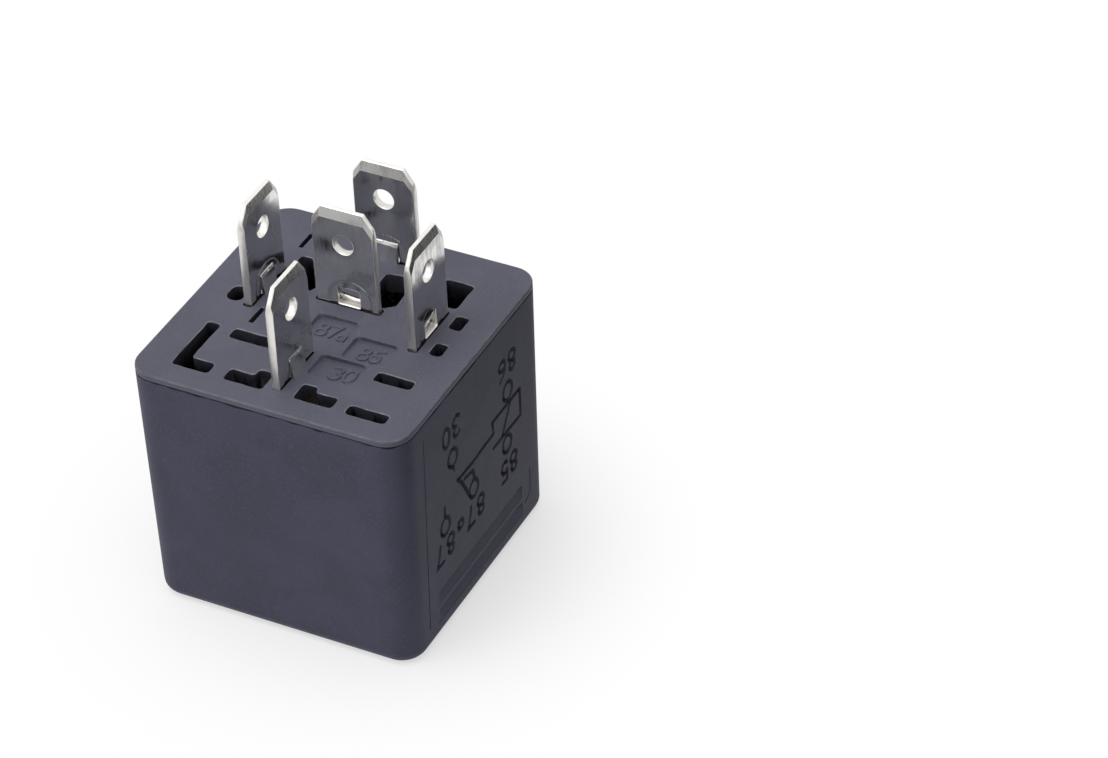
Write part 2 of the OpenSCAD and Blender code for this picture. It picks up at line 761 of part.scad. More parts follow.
// A coil lead: out of the winding, through the bobbin's notch, up to its tail
lead_y = 2.3;                           // how far along the tail the lead is soldered
lead_loop = 0.6;                        // height of the lead's loop over the bobbin's end
module coil_lead(side) {
    y = coil_blade_y;
    z = flange_high_z;
    top = z + bobbin_t;
    x_in = sqrt(winding_d * winding_d / 4 - (y - coil_y) * (y - coil_y)) + lead_d / 2;
    x_notch = bobbin_w / 2 - notch_in / 2 + lead_d / 2;
    x_tail = coil_blade_x - (blade_t + lead_d) / 2;
    run = x_tail - x_notch;
    path = [for (p = [[x_in, y, z - 1.5 * lead_loop], [x_in + 0.3 * (x_notch - x_in), y, z - lead_loop],
            [x_notch, y, z + bobbin_t * 0.1], [x_notch, y, top + lead_loop / 2],
            [x_notch + 0.27 * run, y + 0.2 * lead_y, top + lead_loop],
            [x_notch + 0.73 * run, y + 0.6 * lead_y, top + lead_loop],
            [x_tail, y + 0.95 * lead_y, solder_z], [x_tail, y + lead_y + solder_d / 2, solder_z]])
        [side * p[0], p[1], p[2]]];
    color([0.72, 0.4, 0.18])
        sweep(path, round_outline(lead_d, 8), [0, side, 0.2]);
}

module coil_lead_85() {
    coil_lead(1);
}

module coil_lead_86() {
    coil_lead(-1);
}

module solder_joints() {
    color([0.7, 0.7, 0.68])
        difference() {
            for (s = [-1, 1])
                translate([s * (coil_blade_x - blade_t / 2), coil_blade_y + lead_y, solder_z])
                    rotate([0, -90 * s, 0])
                        cylinder(d1 = solder_d, d2 = solder_d / 2, h = lead_d + solder_cap, $fn = 32);
            // each drop has set round its wire
            coil_lead(-1);
            coil_lead(1);
        }
}

// ---- contacts ----

// A fixed contact: a flat disc on the strip's face with a shank through it
module fixed_contact(face_z, up) {
    m = up ? 1 : -1;
    translate([0, contact_y, face_z]) {
        translate([0, 0, up ? 0 : -fixed_contact_t])
            cylinder(d = contact_d + 0.2, h = fixed_contact_t, $fn = 48);
        translate([0, 0, up ? 0 : -fixed_contact_t - blade_t])
            cylinder(d = shank_d, h = fixed_contact_t + blade_t, $fn = 32);
    }
}

module work_contact() {
    color([0.85, 0.84, 0.82])
        fixed_contact(work_face_z, true);
}

module rest_contact() {
    color([0.85, 0.84, 0.82])
        fixed_contact(rest_face_z, false);
}

module armature() {
    rear_w = yoke_w - 2 * ear_w - 2 * ear_gap;
    step_y = leg_front + ear_gap;
    color([0.66, 0.66, 0.64])
        swing_open()
            difference() {
                union() {
                    block([-armature_w / 2, step_y, armature_z],
                        [armature_w / 2, armature_front, armature_z + armature_t]);
                    block([-rear_w / 2, hinge_y, armature_z],
                        [rear_w / 2, step_y + 0.1, armature_z + armature_t]);
                    // hook for the return spring
                    block([spring_x - lug_half, hinge_y - tail_reach, armature_z],
                        [spring_x + lug_half, hinge_y + 0.1, armature_z + armature_t]);
                }
                for (y = ARM_RIVET_Y)
                    translate([0, y, armature_z - 1])
                        cylinder(d = rivet_d, h = armature_t + 2, $fn = 32);
            }
}

module contact_arm() {
    color([0.78, 0.5, 0.28])
        swing_open()
            difference() {
                union() {
                    translate([0, 0, arm_z])
                        round_end_strip(arm_w, arm_back, rest_riser_y - tip_gap, arm_t);
                    // wider root, where the braid is welded on
                    block([braid_x - braid_w / 2 - 0.2, arm_back, arm_z],
                        [arm_w / 2, arm_back + arm_root_l, arm_z + arm_t]);
                }
                for (y = ARM_RIVET_Y)
                    translate([0, y, arm_z - 1])
                        cylinder(d = rivet_d, h = 3, $fn = 32);
                translate([0, contact_y, arm_z - 1])
                    cylinder(d = shank_d, h = 3, $fn = 32);
            }
}

module arm_rivets() {
    color([0.75, 0.73, 0.68])
        swing_open()
            for (y = ARM_RIVET_Y)
                translate([0, y, arm_z]) {
                    cylinder(d = rivet_d, h = arm_t + armature_t, $fn = 32);
                    translate([0, 0, -rivet_head_h])
                        cylinder(d = rivet_head_d, h = rivet_head_h, $fn = 32);
                }
}

// Outline of a domed contact head, for one turn about its own axis
module contact_head() {
    rotate_extrude($fn = 48) {
        square([contact_r, contact_rim]);
        intersection() {
            translate([0, head_h - dome_r])
                circle(dome_r, $fn = 128);
            translate([0, contact_rim - eps])
                square([contact_r, contact_dome + eps]);
        }
    }
}

module moving_contact() {
    color([0.85, 0.84, 0.82])
        swing_open()
            translate([0, contact_y, 0]) {
                translate([0, 0, armature_z])
                    contact_head();
                translate([0, 0, arm_z])
                    mirror([0, 0, 1])
                        contact_head();
                translate([0, 0, arm_z - 0.1])
                    cylinder(d = shank_d, h = arm_t + 0.2, $fn = 32);
            }
}

// Return spring: close turns of wire between two straight legs
module return_spring() {
    r = (spring_d - spring_wire) / 2;
    low = spring_low + spring_wire / 2;
    rise = spring_high - spring_low - spring_wire;
    steps = 12;
    turns = [for (i = [0:spring_turns * steps])
        let (a = 360 * i / steps, f = i / (spring_turns * steps))
            [spring_x + r * cos(a), spring_y + r * sin(a), low + f * rise]];
    color([0.75, 0.75, 0.75])
        sweep(turns, round_outline(spring_wire, 6), [0, 0, 1]);
}

module flex_braid() {
    path = [for (p = BRAID_PATH) [braid_x, p[0], p[1]]];
    color([0.75, 0.42, 0.22])
        sweep(path, flat_outline(braid_t, braid_w), [1, 0, 0]);
}

cover();
base();
terminal_30();
terminal_85();
terminal_86();
terminal_87();
terminal_87a();
common_rivets();
yoke();
core();
bobbin();
coil_winding();
coil_lead_85();
coil_lead_86();
solder_joints();
work_contact();
rest_contact();
return_spring();
flex_braid();
armature();
contact_arm();
arm_rivets();
moving_contact();
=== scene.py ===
"""Finished look of an automotive change-over relay.

The moulded cover, the base with its openings and the five blades are built
here in full detail. The pieces of the magnet inside keep their solids and
get their finishes. Sizes are millimetres until a mesh is made.
"""

import json
import logging
import math
from dataclasses import dataclass, field
from enum import Enum
from typing import Callable, Iterator, Optional, Sequence

import bmesh
import bpy
from mathutils import Matrix, Vector, noise
from mathutils.geometry import delaunay_2d_cdt

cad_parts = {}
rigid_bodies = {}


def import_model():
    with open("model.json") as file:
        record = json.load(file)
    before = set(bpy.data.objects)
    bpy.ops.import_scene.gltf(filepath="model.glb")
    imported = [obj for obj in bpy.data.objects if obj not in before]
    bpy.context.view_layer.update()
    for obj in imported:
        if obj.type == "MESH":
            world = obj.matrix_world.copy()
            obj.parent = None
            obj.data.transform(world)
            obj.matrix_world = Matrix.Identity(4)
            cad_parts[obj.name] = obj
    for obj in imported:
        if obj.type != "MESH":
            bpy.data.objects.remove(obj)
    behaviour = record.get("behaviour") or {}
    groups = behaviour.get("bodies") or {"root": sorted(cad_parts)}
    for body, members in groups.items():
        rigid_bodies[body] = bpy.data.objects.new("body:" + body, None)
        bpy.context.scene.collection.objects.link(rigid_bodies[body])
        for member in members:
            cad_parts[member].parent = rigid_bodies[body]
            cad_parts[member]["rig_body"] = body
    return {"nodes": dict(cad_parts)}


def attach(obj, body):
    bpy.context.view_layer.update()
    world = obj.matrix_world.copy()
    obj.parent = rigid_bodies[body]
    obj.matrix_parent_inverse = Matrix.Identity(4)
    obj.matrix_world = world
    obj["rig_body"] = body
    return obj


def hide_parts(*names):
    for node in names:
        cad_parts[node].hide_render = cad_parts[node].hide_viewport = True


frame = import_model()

LOG = logging.getLogger("relay")
MM = 0.001
WEAR_AND_HIGHLIGHT = "edge_wear_and_highlight"
PATCH = "surface_patch"
# Waves of unevenness in a millimetre of a worn or frayed edge, and where each kind is read.
UNEVEN_WAVES = 0.9
RIM_LEVEL = 3.1
FRAY_LEVEL = 0.7
# Without a seed of its own, the noise that frays an edge starts from the clock and differs in each run.
FRAY_SEED = 1795458085

Point2 = tuple[float, float]
Point3 = tuple[float, float, float]
Colour = tuple[float, float, float]
Placer = Callable[[float, float], Point3]
Stroke = tuple[list[Point2], bool]
Finishes = Sequence[bpy.types.Material]


# ---------------------------------------------------------------- outlines


def rounded_square(half: float, radius: float, arc: int = 8, side: int = 28) -> list[Point2]:
    """Points round a square with rounded corners, always in the same order.

    Args:
        half: Half of the square's width.
        radius: Corner radius.
        arc: Steps in each corner.
        side: Steps along each straight side.

    Returns:
        The outline, anticlockwise, with as many points for any size.
    """
    points: list[Point2] = []
    flat = half - radius
    centres = [(flat, flat), (-flat, flat), (-flat, -flat), (flat, -flat)]
    for k, (cx, cy) in enumerate(centres):
        turn = k * math.pi / 2
        for i in range(arc + 1):
            a = turn + i / arc * math.pi / 2
            points.append((cx + radius * math.cos(a), cy + radius * math.sin(a)))
        start = points[-1]
        cx, cy = centres[(k + 1) % 4]
        a = turn + math.pi / 2
        end = (cx + radius * math.cos(a), cy + radius * math.sin(a))
        for i in range(1, side):
            t = i / side
            points.append((start[0] + (end[0] - start[0]) * t, start[1] + (end[1] - start[1]) * t))
    return points


def rounded_outline(corners: Sequence[Point2], radius: float, steps: int = 5) -> list[Point2]:
    """Rounds each corner of a polygon.

    Args:
        corners: The polygon, anticlockwise.
        radius: Radius at each corner, less where a side is short.
        steps: Steps round each corner.

    Returns:
        The rounded outline, anticlockwise.
    """
    out: list[Point2] = []
    n = len(corners)
    for i in range(n):
        p = Vector(corners[i])
        a = Vector(corners[i - 1]) - p
        b = Vector(corners[(i + 1) % n]) - p
        u, v = a.normalized(), b.normalized()
        half = math.acos(max(-1.0, min(1.0, u.dot(v)))) / 2
        cut = min(radius / math.tan(half), 0.45 * a.length, 0.45 * b.length)
        r = cut * math.tan(half)
        centre = p + (u + v).normalized() * (r / math.sin(half))
        s, e = p + u * cut - centre, p + v * cut - centre
        a0, a1 = math.atan2(s.y, s.x), math.atan2(e.y, e.x)
        turn = (a1 - a0 + math.pi) % (2 * math.pi) - math.pi
        for k in range(steps + 1):
            angle = a0 + turn * k / steps
            out.append((centre.x + r * math.cos(angle), centre.y + r * math.sin(angle)))
    return out


def grown(outline: Sequence[Point2], by: float) -> list[Point2]:
    """Moves a closed outline outwards.

    Args:
        outline: The outline, anticlockwise.
        by: How far it moves, below 0 where it moves inwards.

    Returns:
        The moved outline, point for point.
    """
    out: list[Point2] = []
    n = len(outline)
    for i in range(n):
        p, a, b = Vector(outline[i]), Vector(outline[i - 1]), Vector(outline[(i + 1) % n])
        d1, d2 = (p - a).normalized(), (b - p).normalized()
        n1, n2 = Vector((d1.y, -d1.x)), Vector((d2.y, -d2.x))
        m = (n1 + n2).normalized()
        reach = by / max(0.45, m.dot(n1))
        out.append((p.x + m.x * reach, p.y + m.y * reach))
    return out


def spaced(outline: Sequence[Point2], step: float) -> list[Point2]:
    """Puts more points on a closed outline.

    Args:
        outline: The outline.
        step: About how far the points are to lie apart.

    Returns:
        The same outline with more points.
    """
    out: list[Point2] = []
    for i, p in enumerate(outline):
        q = outline[(i + 1) % len(outline)]
        parts = max(1, round(math.dist(p, q) / step))
        out += [(p[0] + (q[0] - p[0]) * k / parts, p[1] + (q[1] - p[1]) * k / parts) for k in range(parts)]
    return out


def frayed(outline: Sequence[Point2], amount: float, step: float = 0.3) -> list[Point2]:
    """Makes a closed outline a little uneven.

    Args:
        outline: The outline.
        amount: How far its points move, at most.
        step: About how far its new points lie apart.

    Returns:
        The uneven outline.
    """
    out = spaced(outline, step)
    out = [p for i, p in enumerate(out) if math.dist(p, out[i - 1]) > 0.05]
    noise.seed_set(FRAY_SEED)
    read = [Vector((x * UNEVEN_WAVES, y * UNEVEN_WAVES, FRAY_LEVEL)) for x, y in out]
    shift = [noise.noise_vector(place) * amount for place in read]
    return [(x + d.x, y + d.y) for (x, y), d in zip(out, shift)]


def arc_points(cx: float, cy: float, rx: float, ry: float, a0: float, a1: float, steps: int) -> list[Point2]:
    """Points along an arc of an ellipse, from a0 to a1 degrees."""
    angles = [math.radians(a0 + (a1 - a0) * i / steps) for i in range(steps + 1)]
    return [(cx + rx * math.cos(a), cy + ry * math.sin(a)) for a in angles]


def quarter_steps(steps: int) -> list[float]:
    """Angles through a quarter turn in equal steps, in radians."""
    return [math.pi / 2 * i / steps for i in range(steps + 1)]


def box_outline(x: float, y: float, w: float, d: float) -> list[Point2]:
    """Corners of a rectangle given by its low corner and its size, anticlockwise."""
    return [(x, y), (x + w, y), (x + w, y + d), (x, y + d)]


def signed_area(points: Sequence[Point2]) -> float:
    """Twice the area of a closed outline, above 0 where it runs anticlockwise."""
    return sum(points[i - 1][0] * points[i][1] - points[i][0] * points[i - 1][1] for i in range(len(points)))


def inside(point: Point2, outline: Sequence[Point2]) -> bool:
    """Tells whether a point lies inside a closed outline.

    Args:
        point: The point.
        outline: The outline.

    Returns:
        True where it lies inside.
    """
    x, y = point
    hit = False
    for i in range(len(outline)):
        (x1, y1), (x2, y2) = outline[i - 1], outline[i]
        if (y1 > y) != (y2 > y) and x < (x2 - x1) * (y - y1) / (y2 - y1) + x1:
            hit = not hit
    return hit


# ------------------------------------------------------------------ meshes


@dataclass
class Ring:
    """A closed row of points in a draft.

    Attributes:
        ids: Numbers of the points in the draft.
        flat: Their places in the plane of the face.
    """

    ids: list[int]
    flat: list[Point2]


class MeshDraft:
    """Collects points and faces in millimetres and makes one object of them."""

    def __init__(self, patch: int = 0) -> None:
        """Starts an empty draft whose faces belong to a patch."""
        self.points: list[Point3] = []
        self.wear_and_highlight: list[float] = []
        self.faces: list[tuple[int, ...]] = []
        self.zones: list[int] = []
        self.patches: list[int] = []
        self.patch = patch

    def add(self, point: Point3, wear_and_highlight: float = 0.0) -> int:
        """Adds a point.

        Args:
            point: Where it is.
            wear_and_highlight: How strongly the edge is marked there, from 0 to 1, for wearing and a painted
                highlight.

        Returns:
            The point's number.
        """
        self.points.append(point)
        self.wear_and_highlight.append(wear_and_highlight)
        return len(self.points) - 1

    def ring(self, flat: Sequence[Point2], place: Placer, wear_and_highlight: float = 0.0) -> Ring:
        """Adds a closed row of points, which place puts into space, with their marks for edge wearing and
        painted highlight.
        """
        return Ring([self.add(place(*p), wear_and_highlight) for p in flat], list(flat))

    def level_ring(self, flat: Sequence[Point2], z: float, wear_and_highlight: float = 0.0) -> Ring:
        """Adds a closed row of points that all lie at one height."""
        return self.ring(flat, lambda x, y: (x, y, z), wear_and_highlight)

    def face(self, ids: Sequence[int], zone: int = 0, flip: bool = False) -> None:
        """Adds a face.

        Args:
            ids: Numbers of its points.
            zone: Its finish.
            flip: True where the points run the other way round.
        """
        self.faces.append(tuple(reversed(ids)) if flip else tuple(ids))
        self.zones.append(zone)
        self.patches.append(self.patch)

    def strip(self, a: Ring, b: Ring, zone: int = 0, flip: bool = False) -> None:
        """Joins two rings of equal length with four-sided faces.

        Args:
            a: The first ring.
            b: The second ring.
            zone: The finish.
            flip: True where the faces look the other way.
        """
        n = len(a.ids)
        for i in range(n):
            j = (i + 1) % n
            self.face((a.ids[i], a.ids[j], b.ids[j], b.ids[i]), zone, flip)

    def sheet(
        self,
        outer: Ring,
        holes: Sequence[Ring],
        place: Placer,
        zone: Callable[[Point2], int] = lambda p: 0,
        flip: bool = False,
        extra: Sequence[Point2] = (),
        creases: Sequence[Sequence[Point2]] = (),
        facet: Optional[Callable[[Point2], int]] = None,
    ) -> None:
        """Fills the space between an outer ring and the holes in it.

        Args:
            outer: The ring round the sheet.
            holes: Rings that stay open.
            place: Puts a point of the plane into space.
            zone: Gives the finish for a place in the plane.
            flip: True where the sheet faces the other way.
            extra: More points in the plane, where the surface curves.
            creases: Open rows of points that edges follow.
            facet: Gives the patch for a place in the plane, where there is more than one.
        """
        flat: list[Point2] = []
        ids: list[int] = []
        edges: list[tuple[int, int]] = []
        for ring in [outer, *holes]:
            start = len(flat)
            n = len(ring.ids)
            flat += ring.flat
            ids += ring.ids
            edges += [(start + i, start + (i + 1) % n) for i in range(n)]
        rims = [h.flat for h in holes]

        def covers(p: Point2) -> bool:
            """Tells whether a place belongs to the sheet."""
            return inside(p, outer.flat) and not any(inside(p, r) for r in rims)

        for p in extra:
            if covers(p):
                flat.append(p)
                ids.append(-1)
        for row in creases:
            start = len(flat)
            flat += list(row)
            ids += [-1] * len(row)
            edges += [(start + i, start + i + 1) for i in range(len(row) - 1)]
        made = delaunay_2d_cdt([Vector(p) for p in flat], edges, [], 0, 1e-5)
        known: list[int] = []
        for co, sources in zip(made[0], made[3]):
            old = [ids[s] for s in sources if ids[s] >= 0]
            known.append(old[0] if old else self.add(place(co.x, co.y)))
        for tri in made[2]:
            mid = sum((made[0][i] for i in tri), Vector((0, 0))) / len(tri)
            at = (mid.x, mid.y)
            if covers(at):
                self.patch = facet(at) if facet else self.patch
                self.face([known[i] for i in tri], zone(at), flip)

    def make(self, name: str, finishes: Finishes, sharp: float = 40.0) -> bpy.types.Object:
        """Makes the object.

        Args:
            name: The object's name.
            finishes: A material for each zone.
            sharp: Angle in degrees above which an edge stays sharp.

        Returns:
            The object, in metres, linked to the scene.
        """
        mesh = bpy.data.meshes.new(name)
        mesh.from_pydata([tuple(c * MM for c in p) for p in self.points], [], self.faces)
        mesh.update()
        for finish in finishes:
            mesh.materials.append(finish)
        mesh.polygons.foreach_set("material_index", self.zones)
        mark = mesh.attributes.new(WEAR_AND_HIGHLIGHT, "FLOAT", "POINT")
        mark.data.foreach_set("value", self.wear_and_highlight)
        patch = mesh.attributes.new(PATCH, "INT", "FACE")
        patch.data.foreach_set("value", self.patches)
        obj = put_in_scene(name, mesh)
        clean(obj)
        soften(obj, sharp)
        return obj


def put_in_scene(name: str, data: bpy.types.ID) -> bpy.types.Object:
    """Makes an object of a mesh, a lamp or a camera.

    Args:
        name: The object's name.
        data: The mesh, lamp or camera.

    Returns:
        The object, linked to the scene.
    """
    obj = bpy.data.objects.new(name, data)
    bpy.context.scene.collection.objects.link(obj)
    return obj


def clean(obj: bpy.types.Object) -> None:
    """Merges doubled points, drops loose ones and turns all faces outwards.

    Args:
        obj: The object.
    """
    bm = bmesh.new()
    bm.from_mesh(obj.data)
    bmesh.ops.remove_doubles(bm, verts=bm.verts, dist=1e-7)
    bmesh.ops.dissolve_degenerate(bm, edges=bm.edges, dist=1e-8)
    loose = [v for v in bm.verts if not v.link_faces]
    bmesh.ops.delete(bm, geom=loose, context="VERTS")
    bmesh.ops.recalc_face_normals(bm, faces=bm.faces)
    bm.to_mesh(obj.data)
    bm.free()


def soften(obj: bpy.types.Object, sharp: float) -> None:
    """Shades an object smooth with weighted normals, and keeps edges sharp between patches.

    Args:
        obj: The object.
        sharp: Angle in degrees above which an edge stays sharp.
    """
    mesh = obj.data
    mesh.polygons.foreach_set("use_smooth", [True] * len(mesh.polygons))
    mesh.set_sharp_from_angle(angle=math.radians(sharp))
    bm = bmesh.new()
    bm.from_mesh(mesh)
    patch = bm.faces.layers.int.get(PATCH)
    for edge in bm.edges:
        if patch and len({face[patch] for face in edge.link_faces}) > 1:
            edge.smooth = False
    bm.to_mesh(mesh)
    bm.free()
    weigh = obj.modifiers.new("weighted", "WEIGHTED_NORMAL")
    weigh.keep_sharp = True
    weigh.mode = "FACE_AREA"
    settle(obj)


def settle(obj: bpy.types.Object) -> None:
    """Makes an object's modifiers part of its mesh.

    Args:
        obj: The object.
    """
    bpy.context.view_layer.update()
    graph = bpy.context.evaluated_depsgraph_get()
    mesh = bpy.data.meshes.new_from_object(obj.evaluated_get(graph), depsgraph=graph)
    mesh.name = obj.name
    obj.modifiers.clear()
    obj.data = mesh


class Carving(Enum):
    """What one object does to another."""

    CUT = "DIFFERENCE"
    JOIN = "UNION"


def carve(obj: bpy.types.Object, tool: bpy.types.Object, how: Carving = Carving.CUT) -> None:
    """Works on one object with another, which is used up.

    Args:
        obj: The object that stays.
        tool: The object that cuts it or joins it.
        how: What the tool does.
    """
    work = obj.modifiers.new("carve", "BOOLEAN")
    work.operation = how.value
    work.solver = "MANIFOLD"
    work.object = tool
    settle(obj)
    bpy.data.objects.remove(tool)


# ----------------------------------------------------------------- strokes


class Glyph(Enum):
    """The figures that the terminals are numbered with, as strokes in a box 0.6 wide and 1 high."""

    ZERO = "0"
    THREE = "3"
    FIVE = "5"
    SIX = "6"
    SEVEN = "7"
    EIGHT = "8"
    A = "a"

    def strokes(self) -> list[Stroke]:
        """Draws the glyph.

        Returns:
            Points of each stroke, and whether the stroke closes on itself.
        """
        if self is Glyph.ZERO:
            return [(arc_points(0.3, 0.5, 0.27, 0.46, 0, 337.5, 15), True)]
        if self is Glyph.THREE:
            return [
                (arc_points(0.28, 0.74, 0.25, 0.22, 150, -80, 9), False),
                (arc_points(0.28, 0.26, 0.28, 0.25, 80, -150, 9), False),
            ]
        if self is Glyph.FIVE:
            return [
                ([(0.52, 0.96), (0.12, 0.96), (0.08, 0.58)], False),
                (arc_points(0.28, 0.31, 0.26, 0.28, 135, -140, 9), False),
            ]
        if self is Glyph.SIX:
            return [
                (arc_points(0.3, 0.28, 0.26, 0.25, 0, 330, 11), True),
                ([(0.48, 0.96), (0.26, 0.8), (0.1, 0.58), (0.05, 0.34)], False),
            ]
        if self is Glyph.SEVEN:
            return [([(0.03, 0.96), (0.56, 0.96), (0.38, 0.5), (0.26, 0.03)], False)]
        if self is Glyph.EIGHT:
            return [
                (arc_points(0.3, 0.75, 0.21, 0.21, 0, 330, 11), True),
                (arc_points(0.3, 0.27, 0.27, 0.25, 0, 337.5, 15), True),
            ]
        return [
            (arc_points(0.28, 0.27, 0.22, 0.24, 0, 330, 11), True),
            ([(0.52, 0.52), (0.52, 0.04)], False),
        ]


@dataclass(frozen=True)
class Lettering:
    """A row of glyphs.

    Attributes:
        text: What it says.
        at: Middle of the row.
        height: Height of a figure.
        pace: Step from one figure to the next, in millimetres.
        turned: True where the row stands on its head.
    """

    text: str
    at: Point2
    height: float
    pace: float
    turned: bool = False

    def strokes(self) -> list[Stroke]:
        """Draws the whole row in its place.

        Returns:
            Points of each stroke, and whether the stroke closes on itself.
        """
        found: list[Stroke] = []
        x0, y0 = self.at
        way = -1 if self.turned else 1
        for i, sign in enumerate(self.text):
            shift = (i - (len(self.text) - 1) / 2) * self.pace
            for points, closed in Glyph(sign).strokes():
                moved = [
                    (x0 + way * (shift + (x - 0.3) * self.height), y0 + way * (y - 0.5) * self.height)
                    for x, y in points
                ]
                found.append((moved, closed))
        return found


def apart(strokes: Sequence[Stroke], reach: float) -> list[list[Stroke]]:
    """Sorts strokes into groups whose members don't touch each other.

    Args:
        strokes: The strokes.
        reach: How far a stroke's body goes from its points.

    Returns:
        The groups.
    """
    groups: list[list[Stroke]] = []
    boxes: list[list[tuple[float, ...]]] = []
    for stroke in strokes:
        xs, ys = zip(*stroke[0])
        box = (min(xs) - reach, min(ys) - reach, max(xs) + reach, max(ys) + reach)
        for group, taken in zip(groups, boxes):
            if all(box[2] < b[0] or b[2] < box[0] or box[3] < b[1] or b[3] < box[1] for b in taken):
                group.append(stroke)
                taken.append(box)
                break
        else:
            groups.append([stroke])
            boxes.append([box])
    return groups


def stroke_outline(points: Sequence[Point2], half: float, cap: int = 5) -> list[Point2]:
    """Draws the outline of an open stroke with round ends.

    Args:
        points: Points along the stroke.
        half: Half of its width.
        cap: Steps round each end.

    Returns:
        The outline, anticlockwise.
    """
    n = len(points)
    left: list[Point2] = []
    right: list[Point2] = []
    for i in range(n):
        a, b = Vector(points[max(i - 1, 0)]), Vector(points[min(i + 1, n - 1)])
        p = Vector(points[i])
        d1 = (p - a).normalized() if i else (b - p).normalized()
        d2 = (b - p).normalized() if i < n - 1 else d1
        m = Vector((-(d1.y + d2.y), d1.x + d2.x)).normalized()
        reach = half / max(0.5, m.dot(Vector((-d1.y, d1.x))))
        left.append((p.x + m.x * reach, p.y + m.y * reach))
        right.append((p.x - m.x * reach, p.y - m.y * reach))
    last = Vector(points[-1]) - Vector(points[-2])
    first = Vector(points[1]) - Vector(points[0])
    a_end = math.degrees(math.atan2(last.y, last.x))
    a_start = math.degrees(math.atan2(first.y, first.x))
    end = arc_points(*points[-1], half, half, a_end - 90, a_end + 90, cap)[1:-1]
    start = arc_points(*points[0], half, half, a_start + 90, a_start + 270, cap)[1:-1]
    return right + end + list(reversed(left)) + start


def stroke_bodies(
    draft: MeshDraft, strokes: Sequence[Stroke], levels: Sequence[tuple[float, Placer]]
) -> None:
    """Adds a closed body along each stroke.

    Args:
        draft: The draft that receives the bodies.
        strokes: Points of each stroke, and whether it closes on itself.
        levels: Half width and placing of each level, from one side to the other.
    """
    for points, closed in strokes:
        path = points if not closed or signed_area(points) > 0 else list(reversed(points))
        rows: list[list[Ring]] = []
        for half, place in levels:
            edges = [grown(path, half), grown(path, -half)] if closed else [stroke_outline(path, half)]
            rows.append([draft.ring(edge, place) for edge in edges])
        for low, high in zip(rows, rows[1:]):
            for a, b in zip(low, high):
                draft.strip(a, b)
        for row, flip in ((rows[0], True), (rows[-1], False)):
            draft.sheet(row[0], row[1:], lambda x, y: (x, y, 0), flip=flip)


# ----------------------------------------------------------- shader groups


class Sheet:
    """A node tree with short ways to add and join nodes."""

    def __init__(self, tree: bpy.types.NodeTree) -> None:
        """Works on one tree."""
        self.tree = tree

    def add(self, kind: str, **values: object) -> bpy.types.Node:
        """Adds a node.

        Args:
            kind: The node's type, without its ShaderNode prefix.
            values: Sockets by name with _ for a blank, or properties of the node.

        Returns:
            The node.
        """
        node = self.tree.nodes.new("ShaderNode" + kind)
        for key, value in values.items():
            if hasattr(node, key):
                setattr(node, key, value)
            else:
                node.inputs[key.replace("_", " ")].default_value = value
        return node

    def join(self, source: bpy.types.NodeSocket, target: bpy.types.NodeSocket) -> None:
        """Links two sockets."""
        self.tree.links.new(source, target)

    def feed(self, value: object, target: bpy.types.NodeSocket) -> None:
        """Gives a socket its value.

        Args:
            value: A socket to link, a number or a colour.
            target: The socket that receives it.
        """
        if isinstance(value, bpy.types.NodeSocket):
            self.join(value, target)
        else:
            target.default_value = (*value, 1.0) if isinstance(value, tuple) else value

    def place(self) -> bpy.types.NodeSocket:
        """The place on the object, which effects are laid out by."""
        return self.add("TexCoord").outputs["Object"]

    def noise(
        self, place: bpy.types.NodeSocket, scale: Optional[bpy.types.NodeSocket] = None, **values: float
    ) -> bpy.types.NodeSocket:
        """Adds a noise texture.

        Args:
            place: Where it is read.
            scale: Socket that gives its scale, where one does.
            values: Its other sockets by name.

        Returns:
            Its value.
        """
        node = self.add("TexNoise", **values)
        self.join(place, node.inputs["Vector"])
        if scale is not None:
            self.join(scale, node.inputs["Scale"])
        return node.outputs["Fac"]

    def maths(self, kind: str, a: object, b: object = 0.5, c: object = 0.5) -> bpy.types.NodeSocket:
        """Adds a Math node.

        Args:
            kind: Its operation.
            a: First socket or number.
            b: Second socket or number.
            c: Third socket or number, where the operation has three.

        Returns:
            Its result.
        """
        node = self.tree.nodes.new("ShaderNodeMath")
        node.operation = kind
        for slot, value in zip(node.inputs, (a, b, c)):
            self.feed(value, slot)
        return node.outputs[0]

    def band(
        self, value: bpy.types.NodeSocket, low: float, high: float, to_low: float = 0.0, to_high: float = 1.0
    ) -> bpy.types.NodeSocket:
        """Stretches part of a range smoothly over another.

        Args:
            value: The value.
            low: Where the part starts.
            high: Where the part ends.
            to_low: What the start becomes.
            to_high: What the end becomes.

        Returns:
            The stretched value.
        """
        node = self.tree.nodes.new("ShaderNodeMapRange")
        node.interpolation_type = "SMOOTHSTEP"
        self.join(value, node.inputs["Value"])
        for name, number in (("From Min", low), ("From Max", high), ("To Min", to_low), ("To Max", to_high)):
            node.inputs[name].default_value = number
        return node.outputs["Result"]

    def blend(self, mask: bpy.types.NodeSocket, a: object, b: object) -> bpy.types.NodeSocket:
        """Mixes two colours.

        Args:
            mask: 0 for the first colour, 1 for the second.
            a: First colour or socket.
            b: Second colour or socket.

        Returns:
            The mixed colour.
        """
        node = self.tree.nodes.new("ShaderNodeMix")
        node.data_type = "RGBA"
        self.join(mask, node.inputs["Factor"])
        self.feed(a, node.inputs[6])
        self.feed(b, node.inputs[7])
        return node.outputs[2]

    def seen(self) -> bpy.types.NodeSocket:
        """Tells rays that see the surroundings from rays that carry light.

        Returns:
            1 for camera, glossy and transmission rays, 0 for the rest.
        """
        path = self.add("LightPath")
        rays = self.maths("ADD", path.outputs["Is Camera Ray"], path.outputs["Is Glossy Ray"])
        return self.maths("MINIMUM", self.maths("ADD", rays, path.outputs["Is Transmission Ray"]), 1.0)


